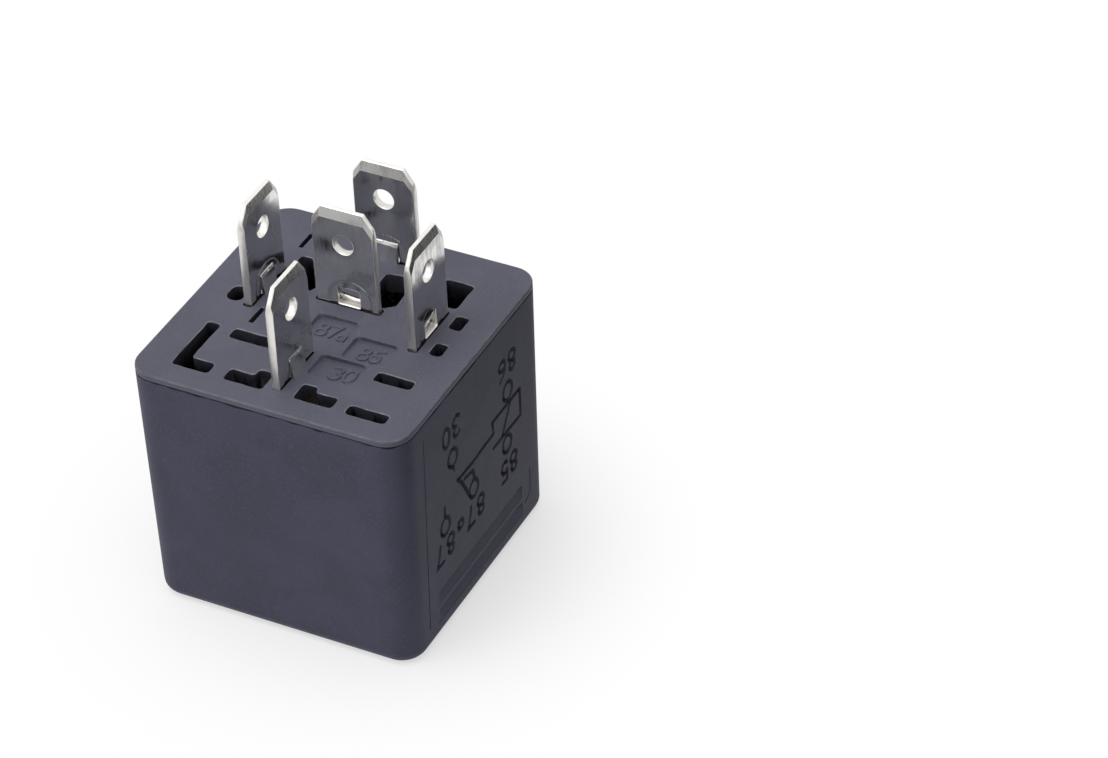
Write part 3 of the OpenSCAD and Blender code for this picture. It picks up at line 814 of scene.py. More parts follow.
class Effects:
    """The surface effects that several finishes share, each a node group built once."""

    def __init__(self) -> None:
        """Builds the groups."""
        self.grain = self._grain()
        self.dust = self._dust()
        self.wear_and_highlight = self._wear_and_highlight()
        self.streaks = self._streaks()
        self.clouds = self._clouds()

    @staticmethod
    def _start(
        name: str, inputs: dict[str, float], outputs: Sequence[str]
    ) -> tuple[Sheet, bpy.types.Node, bpy.types.Node]:
        """Starts a group.

        Args:
            name: The group's name.
            inputs: Its numbers, with their defaults.
            outputs: Names of the masks and heights it gives.

        Returns:
            The sheet, its input node and its output node.
        """
        tree = bpy.data.node_groups.new(name, "ShaderNodeTree")
        for key, value in inputs.items():
            socket = tree.interface.new_socket(key, in_out="INPUT", socket_type="NodeSocketFloat")
            socket.default_value = value
        for key in outputs:
            tree.interface.new_socket(key, in_out="OUTPUT", socket_type="NodeSocketFloat")
        return Sheet(tree), tree.nodes.new("NodeGroupInput"), tree.nodes.new("NodeGroupOutput")

    def _grain(self) -> bpy.types.NodeTree:
        """Makes the fine grain that a spark-eroded mould leaves, with broad flow marks.

        Returns:
            The group.
        """
        scales = {"Scale": 5200.0, "Flow Scale": 160.0}
        sheet, given, out = self._start("mould_grain", scales, ("Height", "Flow"))
        place = sheet.place()
        fine = sheet.noise(place, given.outputs["Scale"], Detail=3.0, Roughness=0.6)
        flow = sheet.noise(place, given.outputs["Flow Scale"], Detail=2.0, Roughness=0.5, Distortion=0.6)
        sheet.join(fine, out.inputs["Height"])
        sheet.join(sheet.band(flow, 0.3, 0.7), out.inputs["Flow"])
        return sheet.tree

    def _dust(self) -> bpy.types.NodeTree:
        """Makes scattered pale specks of dust and moulding powder.

        Returns:
            The group.
        """
        amounts = {"Scale": 1500.0, "Amount": 0.1, "Size": 0.12}
        sheet, given, out = self._start("dust_specks", amounts, ("Mask",))
        place = sheet.place()
        cells = sheet.add("TexVoronoi")
        sheet.join(place, cells.inputs["Vector"])
        sheet.join(given.outputs["Scale"], cells.inputs["Scale"])
        shape = sheet.noise(place, Scale=9000.0, Detail=2.0)
        ragged = sheet.maths("MULTIPLY_ADD", shape, 0.22, cells.outputs["Distance"])
        near = sheet.maths("LESS_THAN", ragged, given.outputs["Size"])
        split = sheet.add("SeparateColor")
        sheet.join(cells.outputs["Color"], split.inputs[0])
        chosen = sheet.maths("LESS_THAN", split.outputs[0], given.outputs["Amount"])
        both = sheet.maths("MULTIPLY", near, chosen)
        sheet.join(sheet.maths("MULTIPLY", both, split.outputs[1]), out.inputs["Mask"])
        return sheet.tree

    def _wear_and_highlight(self) -> bpy.types.NodeTree:
        """Makes the mask of edge wearing and painted highlight: strong where an edge is marked, broken up by
        noise.

        Returns:
            The group.
        """
        sheet, given, out = self._start("edge_rub_and_highlight", {"Scale": 900.0, "Strength": 1.0}, ("Mask",))
        mark = sheet.add("Attribute", attribute_name=WEAR_AND_HIGHLIGHT)
        patches = sheet.noise(sheet.place(), given.outputs["Scale"], Detail=4.0, Roughness=0.65)
        edge = sheet.maths("MULTIPLY", mark.outputs["Fac"], sheet.band(patches, 0.35, 0.62, 0.15, 1.0))
        sheet.join(sheet.maths("MULTIPLY", edge, given.outputs["Strength"]), out.inputs["Mask"])
        return sheet.tree

    def _streaks(self) -> bpy.types.NodeTree:
        """Makes fine parallel marks that rolling or shearing leaves along Z.

        Returns:
            The group.
        """
        sheet, given, out = self._start("roll_streaks", {"Across": 4200.0, "Along": 260.0}, ("Height",))
        split = sheet.add("SeparateXYZ")
        sheet.join(sheet.place(), split.inputs[0])
        gather = sheet.add("CombineXYZ")
        for axis, key in (("X", "Across"), ("Y", "Across"), ("Z", "Along")):
            sheet.join(sheet.maths("MULTIPLY", split.outputs[axis], given.outputs[key]), gather.inputs[axis])
        lines = sheet.noise(gather.outputs[0], Scale=1.0, Detail=3.0, Roughness=0.6)
        sheet.join(lines, out.inputs["Height"])
        return sheet.tree

    def _clouds(self) -> bpy.types.NodeTree:
        """Makes soft patches of tarnish or handling, and a gentle roll of the surface.

        Returns:
            The group.
        """
        sheet, given, out = self._start("handled_patches", {"Scale": 380.0}, ("Mask", "Roll"))
        place, scale = sheet.place(), given.outputs["Scale"]
        patches = sheet.noise(place, scale, Detail=5.0, Roughness=0.6, Distortion=0.4)
        sheet.join(sheet.band(patches, 0.42, 0.72), out.inputs["Mask"])
        sheet.join(sheet.noise(place, scale, Detail=0.0), out.inputs["Roll"])
        return sheet.tree


# ---------------------------------------------------------------- finishes


class FinishBase:
    """What all finishes share."""

    @staticmethod
    def begin(name: str) -> tuple[bpy.types.Material, Sheet, bpy.types.Node]:
        """Starts a material.

        Args:
            name: The material's name.

        Returns:
            The material, its sheet and its Principled node.
        """
        material = bpy.data.materials.new(name)
        material.use_nodes = True
        return material, Sheet(material.node_tree), material.node_tree.nodes["Principled BSDF"]

    @staticmethod
    def effect(sheet: Sheet, group: bpy.types.NodeTree, **values: float) -> bpy.types.Node:
        """Places a shared effect in a material.

        Args:
            sheet: The material's sheet.
            group: The effect.
            values: The material's own values for it, by socket.

        Returns:
            The group's node.
        """
        node = sheet.tree.nodes.new("ShaderNodeGroup")
        node.node_tree = group
        for key, value in values.items():
            node.inputs[key].default_value = value
        return node

    @staticmethod
    def bump(
        sheet: Sheet, shader: bpy.types.Node, layers: Sequence[tuple[bpy.types.NodeSocket, float]]
    ) -> None:
        """Lays several bumps over one another.

        Args:
            sheet: The material's sheet.
            shader: The Principled node.
            layers: Height from 0 to 1 and depth in metres, for each layer.
        """
        last: Optional[bpy.types.NodeSocket] = None
        for height, depth in layers:
            node = sheet.add("Bump", Strength=1.0, Distance=depth)
            sheet.join(height, node.inputs["Height"])
            if last is not None:
                sheet.join(last, node.inputs["Normal"])
            last = node.outputs["Normal"]
        sheet.join(last, shader.inputs["Normal"])


@dataclass(frozen=True)
class MouldedPlastic(FinishBase):
    """Matt moulded plastic with a fine grain, dust, and marked edges lightened by wearing and a painted
    highlight.

    Attributes:
        name: The material's name.
        colour: Its colour.
        rubbed_and_highlight: Colour of a marked edge, lightened for wearing and a painted highlight.
        roughness: Its roughness.
        specular: Strength of its gloss.
        dust: Share of the cells that hold a speck.
        dust_size: Size of a speck in its cell.
        dust_colour: Colour of the specks.
        deep: Share of the colour in the flow marks.
        pale: Share of the colour on the grain's peaks.
        rub_and_highlight_share: How far a marked edge takes that colour.
        dust_share: How far a speck takes its own colour.
        rough_swing: How far the grain moves the roughness.
        polish: How much smoother a rubbed edge is.
        grain_depth: Depth of the grain, in metres.
        flow_depth: Depth of the flow marks, in metres.
        speck_height: Height of a speck, in metres.
    """

    name: str
    colour: Colour
    rubbed_and_highlight: Colour
    roughness: float
    specular: float
    dust: float = 0.06
    dust_size: float = 0.12
    dust_colour: Colour = (0.42, 0.42, 0.43)
    deep: float = 0.82
    pale: float = 1.8
    rub_and_highlight_share: float = 0.55
    dust_share: float = 0.6
    rough_swing: float = 0.07
    polish: float = 0.16
    grain_depth: float = 0.000018
    flow_depth: float = 0.00003
    speck_height: float = 0.00002

    def build(self, effects: Effects) -> bpy.types.Material:
        """Builds the material.

        Args:
            effects: The shared effects.

        Returns:
            The material.
        """
        material, sheet, shader = self.begin(self.name)
        grain = self.effect(sheet, effects.grain)
        rub_and_highlight = self.effect(sheet, effects.wear_and_highlight).outputs["Mask"]
        dust = self.effect(sheet, effects.dust, Amount=self.dust, Size=self.dust_size).outputs["Mask"]
        height, flow = grain.outputs["Height"], grain.outputs["Flow"]
        deep = tuple(c * self.deep for c in self.colour)
        pale = tuple(c * self.pale for c in self.colour)
        marked = sheet.blend(flow, deep, self.colour)
        tone = sheet.blend(sheet.band(height, 0.5, 0.75, 0.0, 0.6), marked, pale)
        # Marked edges are lightened towards the rubbed colour: partly wearing, partly a painted highlight
        # along the lips.
        worn_and_lit = sheet.blend(sheet.maths("MULTIPLY", rub_and_highlight, self.rub_and_highlight_share), tone, self.rubbed_and_highlight)
        dusty = sheet.blend(sheet.maths("MULTIPLY", dust, self.dust_share), worn_and_lit, self.dust_colour)
        sheet.join(dusty, shader.inputs["Base Color"])
        low, high = self.roughness - self.rough_swing, self.roughness + self.rough_swing
        rough = sheet.band(height, 0.3, 0.7, low, high)
        sheet.join(sheet.maths("MULTIPLY_ADD", rub_and_highlight, -self.polish, rough), shader.inputs["Roughness"])
        shader.inputs["Specular IOR Level"].default_value = self.specular
        layers = ((flow, self.flow_depth), (height, self.grain_depth), (dust, self.speck_height))
        self.bump(sheet, shader, layers)
        return material


@dataclass(frozen=True)
class SheetMetal(FinishBase):
    """Metal with rolling marks, handled patches and rubbed edges.

    Attributes:
        name: The material's name.
        colour: Its colour.
        tarnish: Colour of the handled patches.
        roughness: Its roughness.
        dull: How much rougher a handled patch is.
        streak_depth: Depth of the rolling marks, in metres.
        roll_depth: Depth of the gentle roll of the surface, in metres.
        across: Rolling marks in a metre, across.
        along: Rolling marks in a metre, along.
        coat: Share of a clear coat over it.
        coat_rough: Roughness of the coat.
        tarnish_share: How far a handled patch takes its own colour.
        bright: Share of the colour on a rubbed edge.
    """

    name: str
    colour: Colour
    tarnish: Colour
    roughness: float
    dull: float = 0.12
    streak_depth: float = 0.000002
    roll_depth: float = 0.00001
    across: float = 4200.0
    along: float = 260.0
    coat: float = 0.0
    coat_rough: float = 0.12
    tarnish_share: float = 0.6
    bright: float = 1.08

    def build(self, effects: Effects) -> bpy.types.Material:
        """Builds the material.

        Args:
            effects: The shared effects.

        Returns:
            The material.
        """
        material, sheet, shader = self.begin(self.name)
        clouds = self.effect(sheet, effects.clouds)
        lines = self.effect(sheet, effects.streaks, Across=self.across, Along=self.along).outputs["Height"]
        rub_and_highlight = self.effect(sheet, effects.wear_and_highlight).outputs["Mask"]
        patches = clouds.outputs["Mask"]
        tone = sheet.blend(sheet.maths("MULTIPLY", patches, self.tarnish_share), self.colour, self.tarnish)
        bright = tuple(min(1.0, c * self.bright) for c in self.colour)
        sheet.join(sheet.blend(rub_and_highlight, tone, bright), shader.inputs["Base Color"])
        rough = sheet.maths("MULTIPLY_ADD", patches, self.dull, self.roughness)
        streaked = sheet.band(lines, 0.35, 0.65, -0.03, 0.05)
        sheet.join(sheet.maths("ADD", rough, streaked), shader.inputs["Roughness"])
        shader.inputs["Metallic"].default_value = 1.0
        if self.coat:
            shader.inputs["Coat Weight"].default_value = self.coat
            shader.inputs["Coat Roughness"].default_value = self.coat_rough
        self.bump(sheet, shader, ((clouds.outputs["Roll"], self.roll_depth), (lines, self.streak_depth)))
        return material


class Finish(Enum):
    """The relay's finishes."""

    COVER = MouldedPlastic(
        "cover_plastic", (0.048, 0.0475, 0.081), (0.11, 0.11, 0.14), 0.6, 0.3, dust=0.035, dust_size=0.15
    )
    BASE = MouldedPlastic(
        "base_plastic", (0.073, 0.075, 0.106), (0.34, 0.34, 0.37), 0.55, 0.42, dust=0.05, dust_size=0.17
    )
    # Darker copy of the base plastic for the walls of the openings: painted shade.
    BASE_WALL_PAINTED_SHADE = MouldedPlastic(
        "base_plastic_wall_painted_shade", (0.04, 0.04, 0.054), (0.2, 0.2, 0.22), 0.5, 0.2, dust=0.01
    )
    TIN = SheetMetal(
        "tinned_face",
        (0.795, 0.785, 0.77),
        (0.59, 0.57, 0.545),
        0.13,
        streak_depth=0.0000008,
        roll_depth=0.00003,
    )
    TIN_SHEARED = SheetMetal(
        "tinned_sheared_edge",
        (0.80, 0.785, 0.75),
        (0.56, 0.54, 0.5),
        0.36,
        streak_depth=0.000012,
        across=9000.0,
        along=1400.0,
    )
    # Darker copy of the tin for the coined facets and the tongue's flanks: painted shade.
    TIN_COINED_PAINTED_SHADE = SheetMetal(
        "tinned_coined_tip_painted_shade",
        (0.44, 0.435, 0.425),
        (0.3, 0.295, 0.285),
        0.25,
        streak_depth=0.000003,
        roll_depth=0.000012,
    )
    BRASS = SheetMetal("rivet_brass", (0.78, 0.58, 0.28), (0.45, 0.32, 0.16), 0.28)
    STEEL = SheetMetal("plated_steel", (0.70, 0.71, 0.72), (0.52, 0.50, 0.44), 0.30)
    IRON = SheetMetal("soft_iron", (0.56, 0.56, 0.56), (0.36, 0.34, 0.31), 0.34)
    NYLON = MouldedPlastic("bobbin_nylon", (0.72, 0.70, 0.62), (0.80, 0.78, 0.70), 0.45, 0.5, dust=0.02)
    WINDING = SheetMetal(
        "enamelled_copper", (0.72, 0.33, 0.13), (0.50, 0.18, 0.07), 0.26, coat=0.7, across=900.0, along=2200.0
    )
    COPPER = SheetMetal(
        "bare_copper", (0.82, 0.46, 0.27), (0.48, 0.25, 0.16), 0.32, across=7000.0, along=1600.0
    )
    SOLDER = SheetMetal("solder", (0.74, 0.74, 0.73), (0.55, 0.55, 0.54), 0.22)
    SILVER = SheetMetal("contact_silver", (0.90, 0.89, 0.86), (0.66, 0.60, 0.50), 0.20)
    SPRING = SheetMetal("spring_steel", (0.62, 0.62, 0.63), (0.42, 0.41, 0.40), 0.24)
    BRONZE = SheetMetal("spring_bronze", (0.78, 0.54, 0.34), (0.52, 0.34, 0.20), 0.26)


@dataclass
class Palette:
    """The materials of all finishes, built once.

    Attributes:
        effects: The shared effects.
        made: The material of each finish.
    """

    effects: Effects
    made: dict[Finish, bpy.types.Material] = field(init=False)

    def __post_init__(self) -> None:
        """Builds the materials."""
        self.made = {finish: finish.value.build(self.effects) for finish in Finish}

    def pick(self, *finishes: Finish) -> list[bpy.types.Material]:
        """The materials of some finishes, in their order."""
        return [self.made[finish] for finish in finishes]


# ----------------------------------------------------------------- housing


@dataclass
class Cover:
    """The moulded square cover, engraved on its right side.

    Attributes:
        half: Half of its width at the rim.
        height: From the closed end to the rim.
        draft: How far each side leans in towards the closed end.
        corner: Radius of the upright corners.
        least: The smallest radius that a corner keeps.
        end_edge: Radius round the closed end.
        wall: Thickness of the walls and of the end.
        vent: Diameter of the vent hole.
        vent_edge: Chamfer round the vent hole.
        lip: Radius of the rim's edges.
        uneven: How far the rim's edge and its face sink in places.
        fillet: Radius inside, where the walls meet the end.
        stroke: Half width of an engraved stroke.
        depth: Depth of an engraved stroke.
        lean: How far a stroke's sides lean, as a share of its half width.
        frame_stroke: Half width and depth of the frame's fine lines.
        figures: The engraved figures, in the plane of the side.
        circles: Middle and half height of the circles for the terminals.
        narrow: How much narrower than high a circle is, on each side.
        wires: The lines of the circuit.
        frame_lines: The fine lines of the frame round the circuit.
        grooves: Heights of the two grooves.
        groove_ends: Place along a groove and its depth there.
    """

    half: float = 14.0
    height: float = 25.8
    draft: float = 0.24
    corner: float = 2.5
    least: float = 0.15
    end_edge: float = 1.2
    wall: float = 1.2
    vent: float = 2.0
    vent_edge: float = 0.12
    lip: float = 0.13
    uneven: Point2 = (0.34, 0.3)
    fillet: float = 0.5
    stroke: float = 0.23
    depth: float = 0.42
    lean: float = 0.35
    frame_stroke: Point2 = (0.09, 0.12)
    figures: Sequence[Lettering] = (
        Lettering("86", (6.45, 21.1), 2.3, 1.95, True),
        Lettering("85", (6.05, 9.45), 2.3, 1.85, True),
        Lettering("30", (-4.6, 21.35), 2.3, 1.95, True),
        Lettering("87", (-6.8, 9.2), 2.3, 2.1, True),
        Lettering("87", (-0.75, 9.3), 2.3, 2.0, True),
        Lettering("a", (-3.75, 9.5), 2.0, 2.0, True),
    )
    circles: Sequence[tuple[Point2, float]] = (
        ((6.35, 18.2), 1.0),
        ((5.85, 12.3), 0.95),
        ((-4.6, 18.4), 0.95),
        ((-0.95, 12.1), 0.95),
        ((-6.6, 11.85), 0.95),
    )
    narrow: float = 0.1
    wires: Sequence[Sequence[Point2]] = (
        [(8.7, 16.8), (8.7, 13.7), (6.0, 13.72), (3.2, 13.75)],
        [(8.75, 16.8), (3.1, 16.75)],
        [(3.15, 16.6), (3.2, 15.85)],
        [(6.86, 16.7), (4.95, 13.9)],
        [(3.3, 15.4), (0.25, 15.25)],
        [(0.1, 15.15), (-3.8, 15.2)],
        [(-3.9, 15.35), (-3.1, 14.35), (-1.8, 11.9)],
        [(-0.72, 13.1), (-0.95, 14.2), (-2.6, 14.45)],
        [(-6.6, 12.85), (-6.6, 14.0)],
        [(-4.5, 17.25), (-4.45, 16.9)],
        [(5.85, 13.3), (5.85, 13.6)],
    )
    frame_lines: Sequence[Sequence[Point2]] = (
        [(-9.75, 24.0), (-9.9, 19.0), (-10.25, 9.0), (-10.45, 2.6)],
        [(10.05, 6.3), (10.05, 4.2), (9.75, 3.3), (8.9, 2.8)],
    )
    grooves: Sequence[float] = (5.45, 3.4)
    groove_ends: Sequence[Point2] = ((-8.8, 0.03), (-8.0, 0.38), (7.4, 0.38), (8.3, 0.03))

    def side_x(self, z: float) -> float:
        """Where the right side's face lies at a height."""
        return self.half - self.draft * (1 - z / self.height)

    def build(self, palette: Palette) -> bpy.types.Object:
        """Builds, engraves and dresses the cover.

        Args:
            palette: The materials.

        Returns:
            The cover.
        """
        draft = MeshDraft()
        rings: list[Ring] = []

        def level(
            inset: float, z: float, inner: bool = False, wear_and_highlight: float = 0.0, uneven: float = 0.0
        ) -> None:
            """Adds one ring of the shell, a little uneven where asked."""
            in_by = self.wall if inner else 0.0
            half = self.half - in_by - self.draft * (1 - z / self.height) - inset
            radius = max(self.least, self.corner - in_by - inset)

            def place(x: float, y: float) -> Point3:
                """Puts a point at this level."""
                wave = noise.noise(Vector((x * UNEVEN_WAVES, y * UNEVEN_WAVES, RIM_LEVEL)))
                return (x, y, z - uneven * max(0.0, wave + 0.05))

            rings.append(draft.ring(rounded_square(half, radius), place, wear_and_highlight))

        def vent_ring(radius: float, z: float, wear_and_highlight: float = 0.0) -> None:
            """Adds a ring of the vent hole."""
            outline = rounded_square(self.half, self.corner)
            flat = [(radius * x / math.hypot(x, y), radius * y / math.hypot(x, y)) for x, y in outline]
            rings.append(draft.level_ring(flat, z, wear_and_highlight))

        # The vent's edge, the closed end's rounded edge and the rim's lip are marked lighter: wearing and a
        # painted highlight.
        vent_ring(self.vent / 2, self.wall)
        vent_ring(self.vent / 2, self.vent_edge)
        vent_ring(self.vent / 2 + self.vent_edge, 0.0, 0.4)
        for i, a in enumerate(quarter_steps(6)):
            rub_and_highlight = 0.35 if 0 < i < 6 else 0.0
            level(self.end_edge * (1 - math.sin(a)), self.end_edge * (1 - math.cos(a)), wear_and_highlight=rub_and_highlight)
        level(0.0, self.height - self.lip)
        level(0.3 * self.lip, self.height - 0.3 * self.lip, wear_and_highlight=0.5, uneven=self.uneven[0])
        level(self.lip, self.height, uneven=self.uneven[1])
        level(-self.lip, self.height, inner=True)
        level(0.0, self.height - self.lip, inner=True)
        for a in quarter_steps(3):
            level(self.fillet * (1 - math.cos(a)), self.wall + self.fillet * (1 - math.sin(a)), inner=True)
        for low, high in zip(rings, rings[1:] + rings[:1]):
            draft.strip(low, high)
        finishes = palette.pick(Finish.COVER)
        cover = draft.make("moulded_cover", finishes, 50.0)
        for cutter in self._engraving(finishes):
            carve(cover, cutter)
        clean(cover)
        soften(cover, 38.0)
        return cover

    def _engraving(self, finishes: Finishes) -> Iterator[bpy.types.Object]:
        """Builds the cutters for the circuit, the numbers, the frame lines and the grooves.

        Args:
            finishes: What the cut surfaces are made of.

        Yields:
            Each cutter, whose bodies don't touch each other.
        """
        strokes = [stroke for row in self.figures for stroke in row.strokes()]
        for centre, high in self.circles:
            strokes.append((arc_points(*centre, high - self.narrow, high, 0, 342, 19), True))
        strokes += [(line, False) for line in self.wires]
        groups = apart(strokes, 0.3)
        # Each group is cut a little less deep, so that the floors of two groups never coincide.
        sets = [(group, self.stroke, self.depth - 0.013 * i) for i, group in enumerate(groups)]
        for group, half, depth in [*sets, ([(line, False) for line in self.frame_lines], *self.frame_stroke)]:
            draft = MeshDraft(patch=1)
            self._cut(draft, group, half, depth)
            yield draft.make("engraving_cutter", finishes)
        draft = MeshDraft()
        for z in self.grooves:
            self._groove(draft, z)
        yield draft.make("groove_cutter", finishes)

    def _cut(self, draft: MeshDraft, strokes: Sequence[Stroke], half: float, depth: float) -> None:
        """Adds cutters with sloping sides along strokes of the right side.

        Args:
            draft: The cutter's draft.
            strokes: The strokes.
            half: Half of their width at the surface.
            depth: Their depth.
        """
        stroke_bodies(
            draft,
            strokes,
            (
                (half - self.lean * half, lambda y, z: (self.side_x(z) - depth, y, z)),
                (half + self.lean * half, lambda y, z: (self.side_x(z) + depth, y, z)),
            ),
        )

    def _groove(self, draft: MeshDraft, z: float) -> None:
        """Adds the cutter for a groove that is steep above and runs out below.

        Args:
            draft: The cutter's draft.
            z: Height of the groove.
        """
        steep, bend, run, skin, clear = 0.1, 0.38, 1.5, 0.02, 0.3
        rows: list[list[int]] = []
        for y, deep in self.groove_ends:
            section = (
                (clear, 0.12),
                (-deep, -steep),
                (-skin - 0.55 * deep, -bend),
                (-skin, -run),
                (clear, -run),
            )
            rows.append([draft.add((self.side_x(z + down) + out, y, z + down)) for out, down in section])
        for a, b in zip(rows, rows[1:]):
            for i in range(len(a)):
                j = (i + 1) % len(a)
                draft.patch = 2 + i
                draft.face((a[i], a[j], b[j], b[i]))
        draft.face(rows[0], flip=True)
        draft.face(rows[-1])


@dataclass
class Base:
    """The moulded base: flange, plate with its openings, skirt and posts.

    Attributes:
        half: Half of the flange's width.
        corner: Radius of the flange's corners.
        face_z: Height of the outer face.
        flange: Thickness of the flange.
        plate: Thickness of the plate.
        edge: Radius round the flange's outer face.
        lip: Radius round an opening.
        slot_lip: Radius round a blade's slot.
        slit_lip: Radius round a slit.
        keyhole_lip: Radius round the keyhole.
        skirt: Half width of the skirt that enters the cover.
        skirt_inner: Half width inside the skirt.
        skirt_corner: Radius of the skirt's corners, outside and inside.
        skirt_low: Height of the skirt's end.
        skirt_edge: Chamfer round the skirt's end.
        post_radius: Radius of a post.
        post_low: Height of the posts' ends.
        post_flat: Place of the flat on the two front posts.
        posts: Middles of the posts.
        openings: Corners of the openings, whose edges are uneven.
        slits: Corners of the narrow slits.
        keyhole: Corners of the rounded keyhole.
        panels: Corners of the sunk panels.
        numbers: The raised figures of each panel.
        panel_depth: Mean depth of a panel.
    """

    half: float = 14.0
    corner: float = 2.5
    face_z: float = 26.5
    flange: float = 0.7
    plate: float = 2.0
    edge: float = 0.17
    lip: float = 0.1
    slot_lip: float = 0.06
    slit_lip: float = 0.05
    keyhole_lip: float = 0.08
    skirt: float = 12.7
    skirt_inner: float = 11.5
    skirt_corner: Point2 = (1.3, 0.6)
    skirt_low: float = 22.4
    skirt_edge: float = 0.2
    post_radius: float = 1.3
    post_low: float = 22.8
    post_flat: float = -6.3
    posts: Sequence[Point2] = ((4.7, -6.5), (-4.7, -6.5), (4.6, -0.6), (-4.6, -0.6))
    openings: Sequence[Sequence[Point2]] = (
        ((-10.6, -11.5), (-6.8, -11.5), (-6.8, -10.0), (-9.3, -10.0), (-9.3, -4.7), (-10.6, -4.7)),
        box_outline(-7.8, -6.05, 4.2, 1.4),
        ((-5.2, -11.6), (-1.2, -11.6), (-1.25, -9.1), (-2.8, -9.1), (-2.8, -10.0), (-5.2, -10.0)),
        ((1.9, -11.5), (5.8, -11.5), (5.8, -10.0), (3.4, -10.0), (3.4, -9.3), (1.9, -9.3)),
        box_outline(7.2, -11.6, 4.0, 1.25),
        box_outline(7.2, -6.4, 3.8, 1.25),
        box_outline(10.0, -1.0, 1.25, 1.75),
        box_outline(9.85, 3.1, 1.3, 2.0),
        box_outline(6.4, 5.9, 2.9, 3.8),
        ((0.9, 3.9), (3.1, 3.4), (4.05, 4.1), (3.9, 6.3), (2.5, 8.5), (0.9, 8.2)),
        ((-7.7, 6.2), (-4.5, 2.8), (-4.1, 3.7), (-5.6, 6.1), (-6.6, 7.6), (-7.7, 7.5)),
    )
    slits: Sequence[Sequence[Point2]] = (
        box_outline(-7.25, -3.35, 0.5, 2.4),
        box_outline(-8.7, 8.6, 0.46, 2.3),
    )
    keyhole: Sequence[Point2] = ((-11.15, -0.95), (-9.5, -1.1), (-9.45, 1.05), (-11.1, 1.2))
    panels: Sequence[Sequence[Point2]] = (
        box_outline(-1.9, -2.8, 4.3, 3.3),
        box_outline(2.9, -4.5, 4.4, 3.3),
        box_outline(1.3, -8.0, 4.7, 3.2),
    )
    numbers: Sequence[Sequence[Lettering]] = (
        (Lettering("87", (0.0, -1.35), 1.9, 1.2), Lettering("a", (1.65, -1.6), 1.6, 1.2)),
        (Lettering("85", (5.3, -3.1), 1.9, 1.25),),
        (Lettering("30", (4.4, -6.6), 1.9, 1.35),),
    )
    panel_depth: float = 0.4

    def _mouths(self) -> list[tuple[list[Point2], float]]:
        """Draws each opening through the plate.

        Returns:
            The outline of each opening and the radius of its lip.
        """
        found = [(frayed(rounded_outline(o, 0.35), 0.07), self.lip) for o in self.openings]
        found += [(rounded_outline(o, 0.1, 3), self.slit_lip) for o in self.slits]
        found.append((rounded_outline(self.keyhole, 0.72, 7), self.keyhole_lip))
        found += [(rounded_outline(blade.slot(), 0.3), self.slot_lip) for blade in BladePlace]
        return found

    def build(self, palette: Palette) -> bpy.types.Object:
        """Builds and dresses the base.

        Args:
            palette: The materials.

        Returns:
            The base.
        """
        draft = MeshDraft()
        z, plate_low = self.face_z, self.face_z - self.plate
        outside = self._outside(draft)
        top_holes: list[Ring] = []
        low_holes: list[Ring] = []
        for outline, lip in self._mouths():
            top, low = self._mouth(draft, outline, lip)
            top_holes.append(top)
            low_holes.append(low)
        top_holes += [self._panel(draft, rounded_outline(corners, 0.5), corners) for corners in self.panels]
        low_holes += [self._post(draft, x, y) for x, y in self.posts]
        draft.sheet(outside[0], top_holes, lambda x, y: (x, y, z))
        draft.sheet(outside[-1], low_holes, lambda x, y: (x, y, plate_low), flip=True)
        base = draft.make("moulded_base", palette.pick(Finish.BASE, Finish.BASE_WALL_PAINTED_SHADE), 40.0)
        for figures in self._figures(palette.pick(Finish.BASE)):
            carve(base, figures, Carving.JOIN)
        clean(base)
        soften(base, 40.0)
        return base

    def _outside(self, draft: MeshDraft) -> list[Ring]:
        """Adds the outside, from the outer face round the flange and the skirt to the plate's underside.

        Args:
            draft: The base's draft.

        Returns:
            Its rings.
        """
        z = self.face_z
        under = z - self.flange
        outer, inner = self.skirt_corner
        levels: list[tuple[float, float, float, float]] = []
        for i, a in enumerate(quarter_steps(5)):
            inset = self.edge * (1 - math.sin(a))
            # The flange's rounded edge is marked a little lighter: wearing and a painted highlight.
            rub_and_highlight = 0.25 if 0 < i < 5 else 0.0
            levels.append((self.half - inset, self.corner - inset, z - self.edge * (1 - math.cos(a)), rub_and_highlight))
        levels += [
            (self.half, self.corner, under + 0.16, 0.0),
            (self.half - 0.06, self.corner - 0.06, under + 0.07, 0.0),
            (self.half - 0.3, self.corner - 0.3, under + 0.02, 0.0),
            (self.skirt, outer, under + 0.02, 0.0),
            (self.skirt, outer, self.skirt_low + self.skirt_edge, 0.0),
            (self.skirt - self.skirt_edge, outer - self.skirt_edge, self.skirt_low, 0.0),
            (self.skirt_inner, inner, self.skirt_low, 0.0),
            (self.skirt_inner, inner, z - self.plate, 0.0),
        ]
        rings = [
            draft.level_ring(rounded_square(half, radius), high, rub_and_highlight) for half, radius, high, rub_and_highlight in levels
        ]
        for a, b in zip(rings, rings[1:]):
            draft.strip(a, b)
        return rings

    def _mouth(self, draft: MeshDraft, outline: list[Point2], lip: float) -> tuple[Ring, Ring]:
        """Adds the lip and the wall of an opening through the plate.

        Args:
            draft: The base's draft.
            outline: The opening.
            lip: Radius of its lip.

        Returns:
            The ring in the outer face and the ring in the plate's underside.
        """
        rings: list[Ring] = []
        for i, a in enumerate(quarter_steps(3)):
            flat = grown(outline, lip * (1 - math.sin(a)))
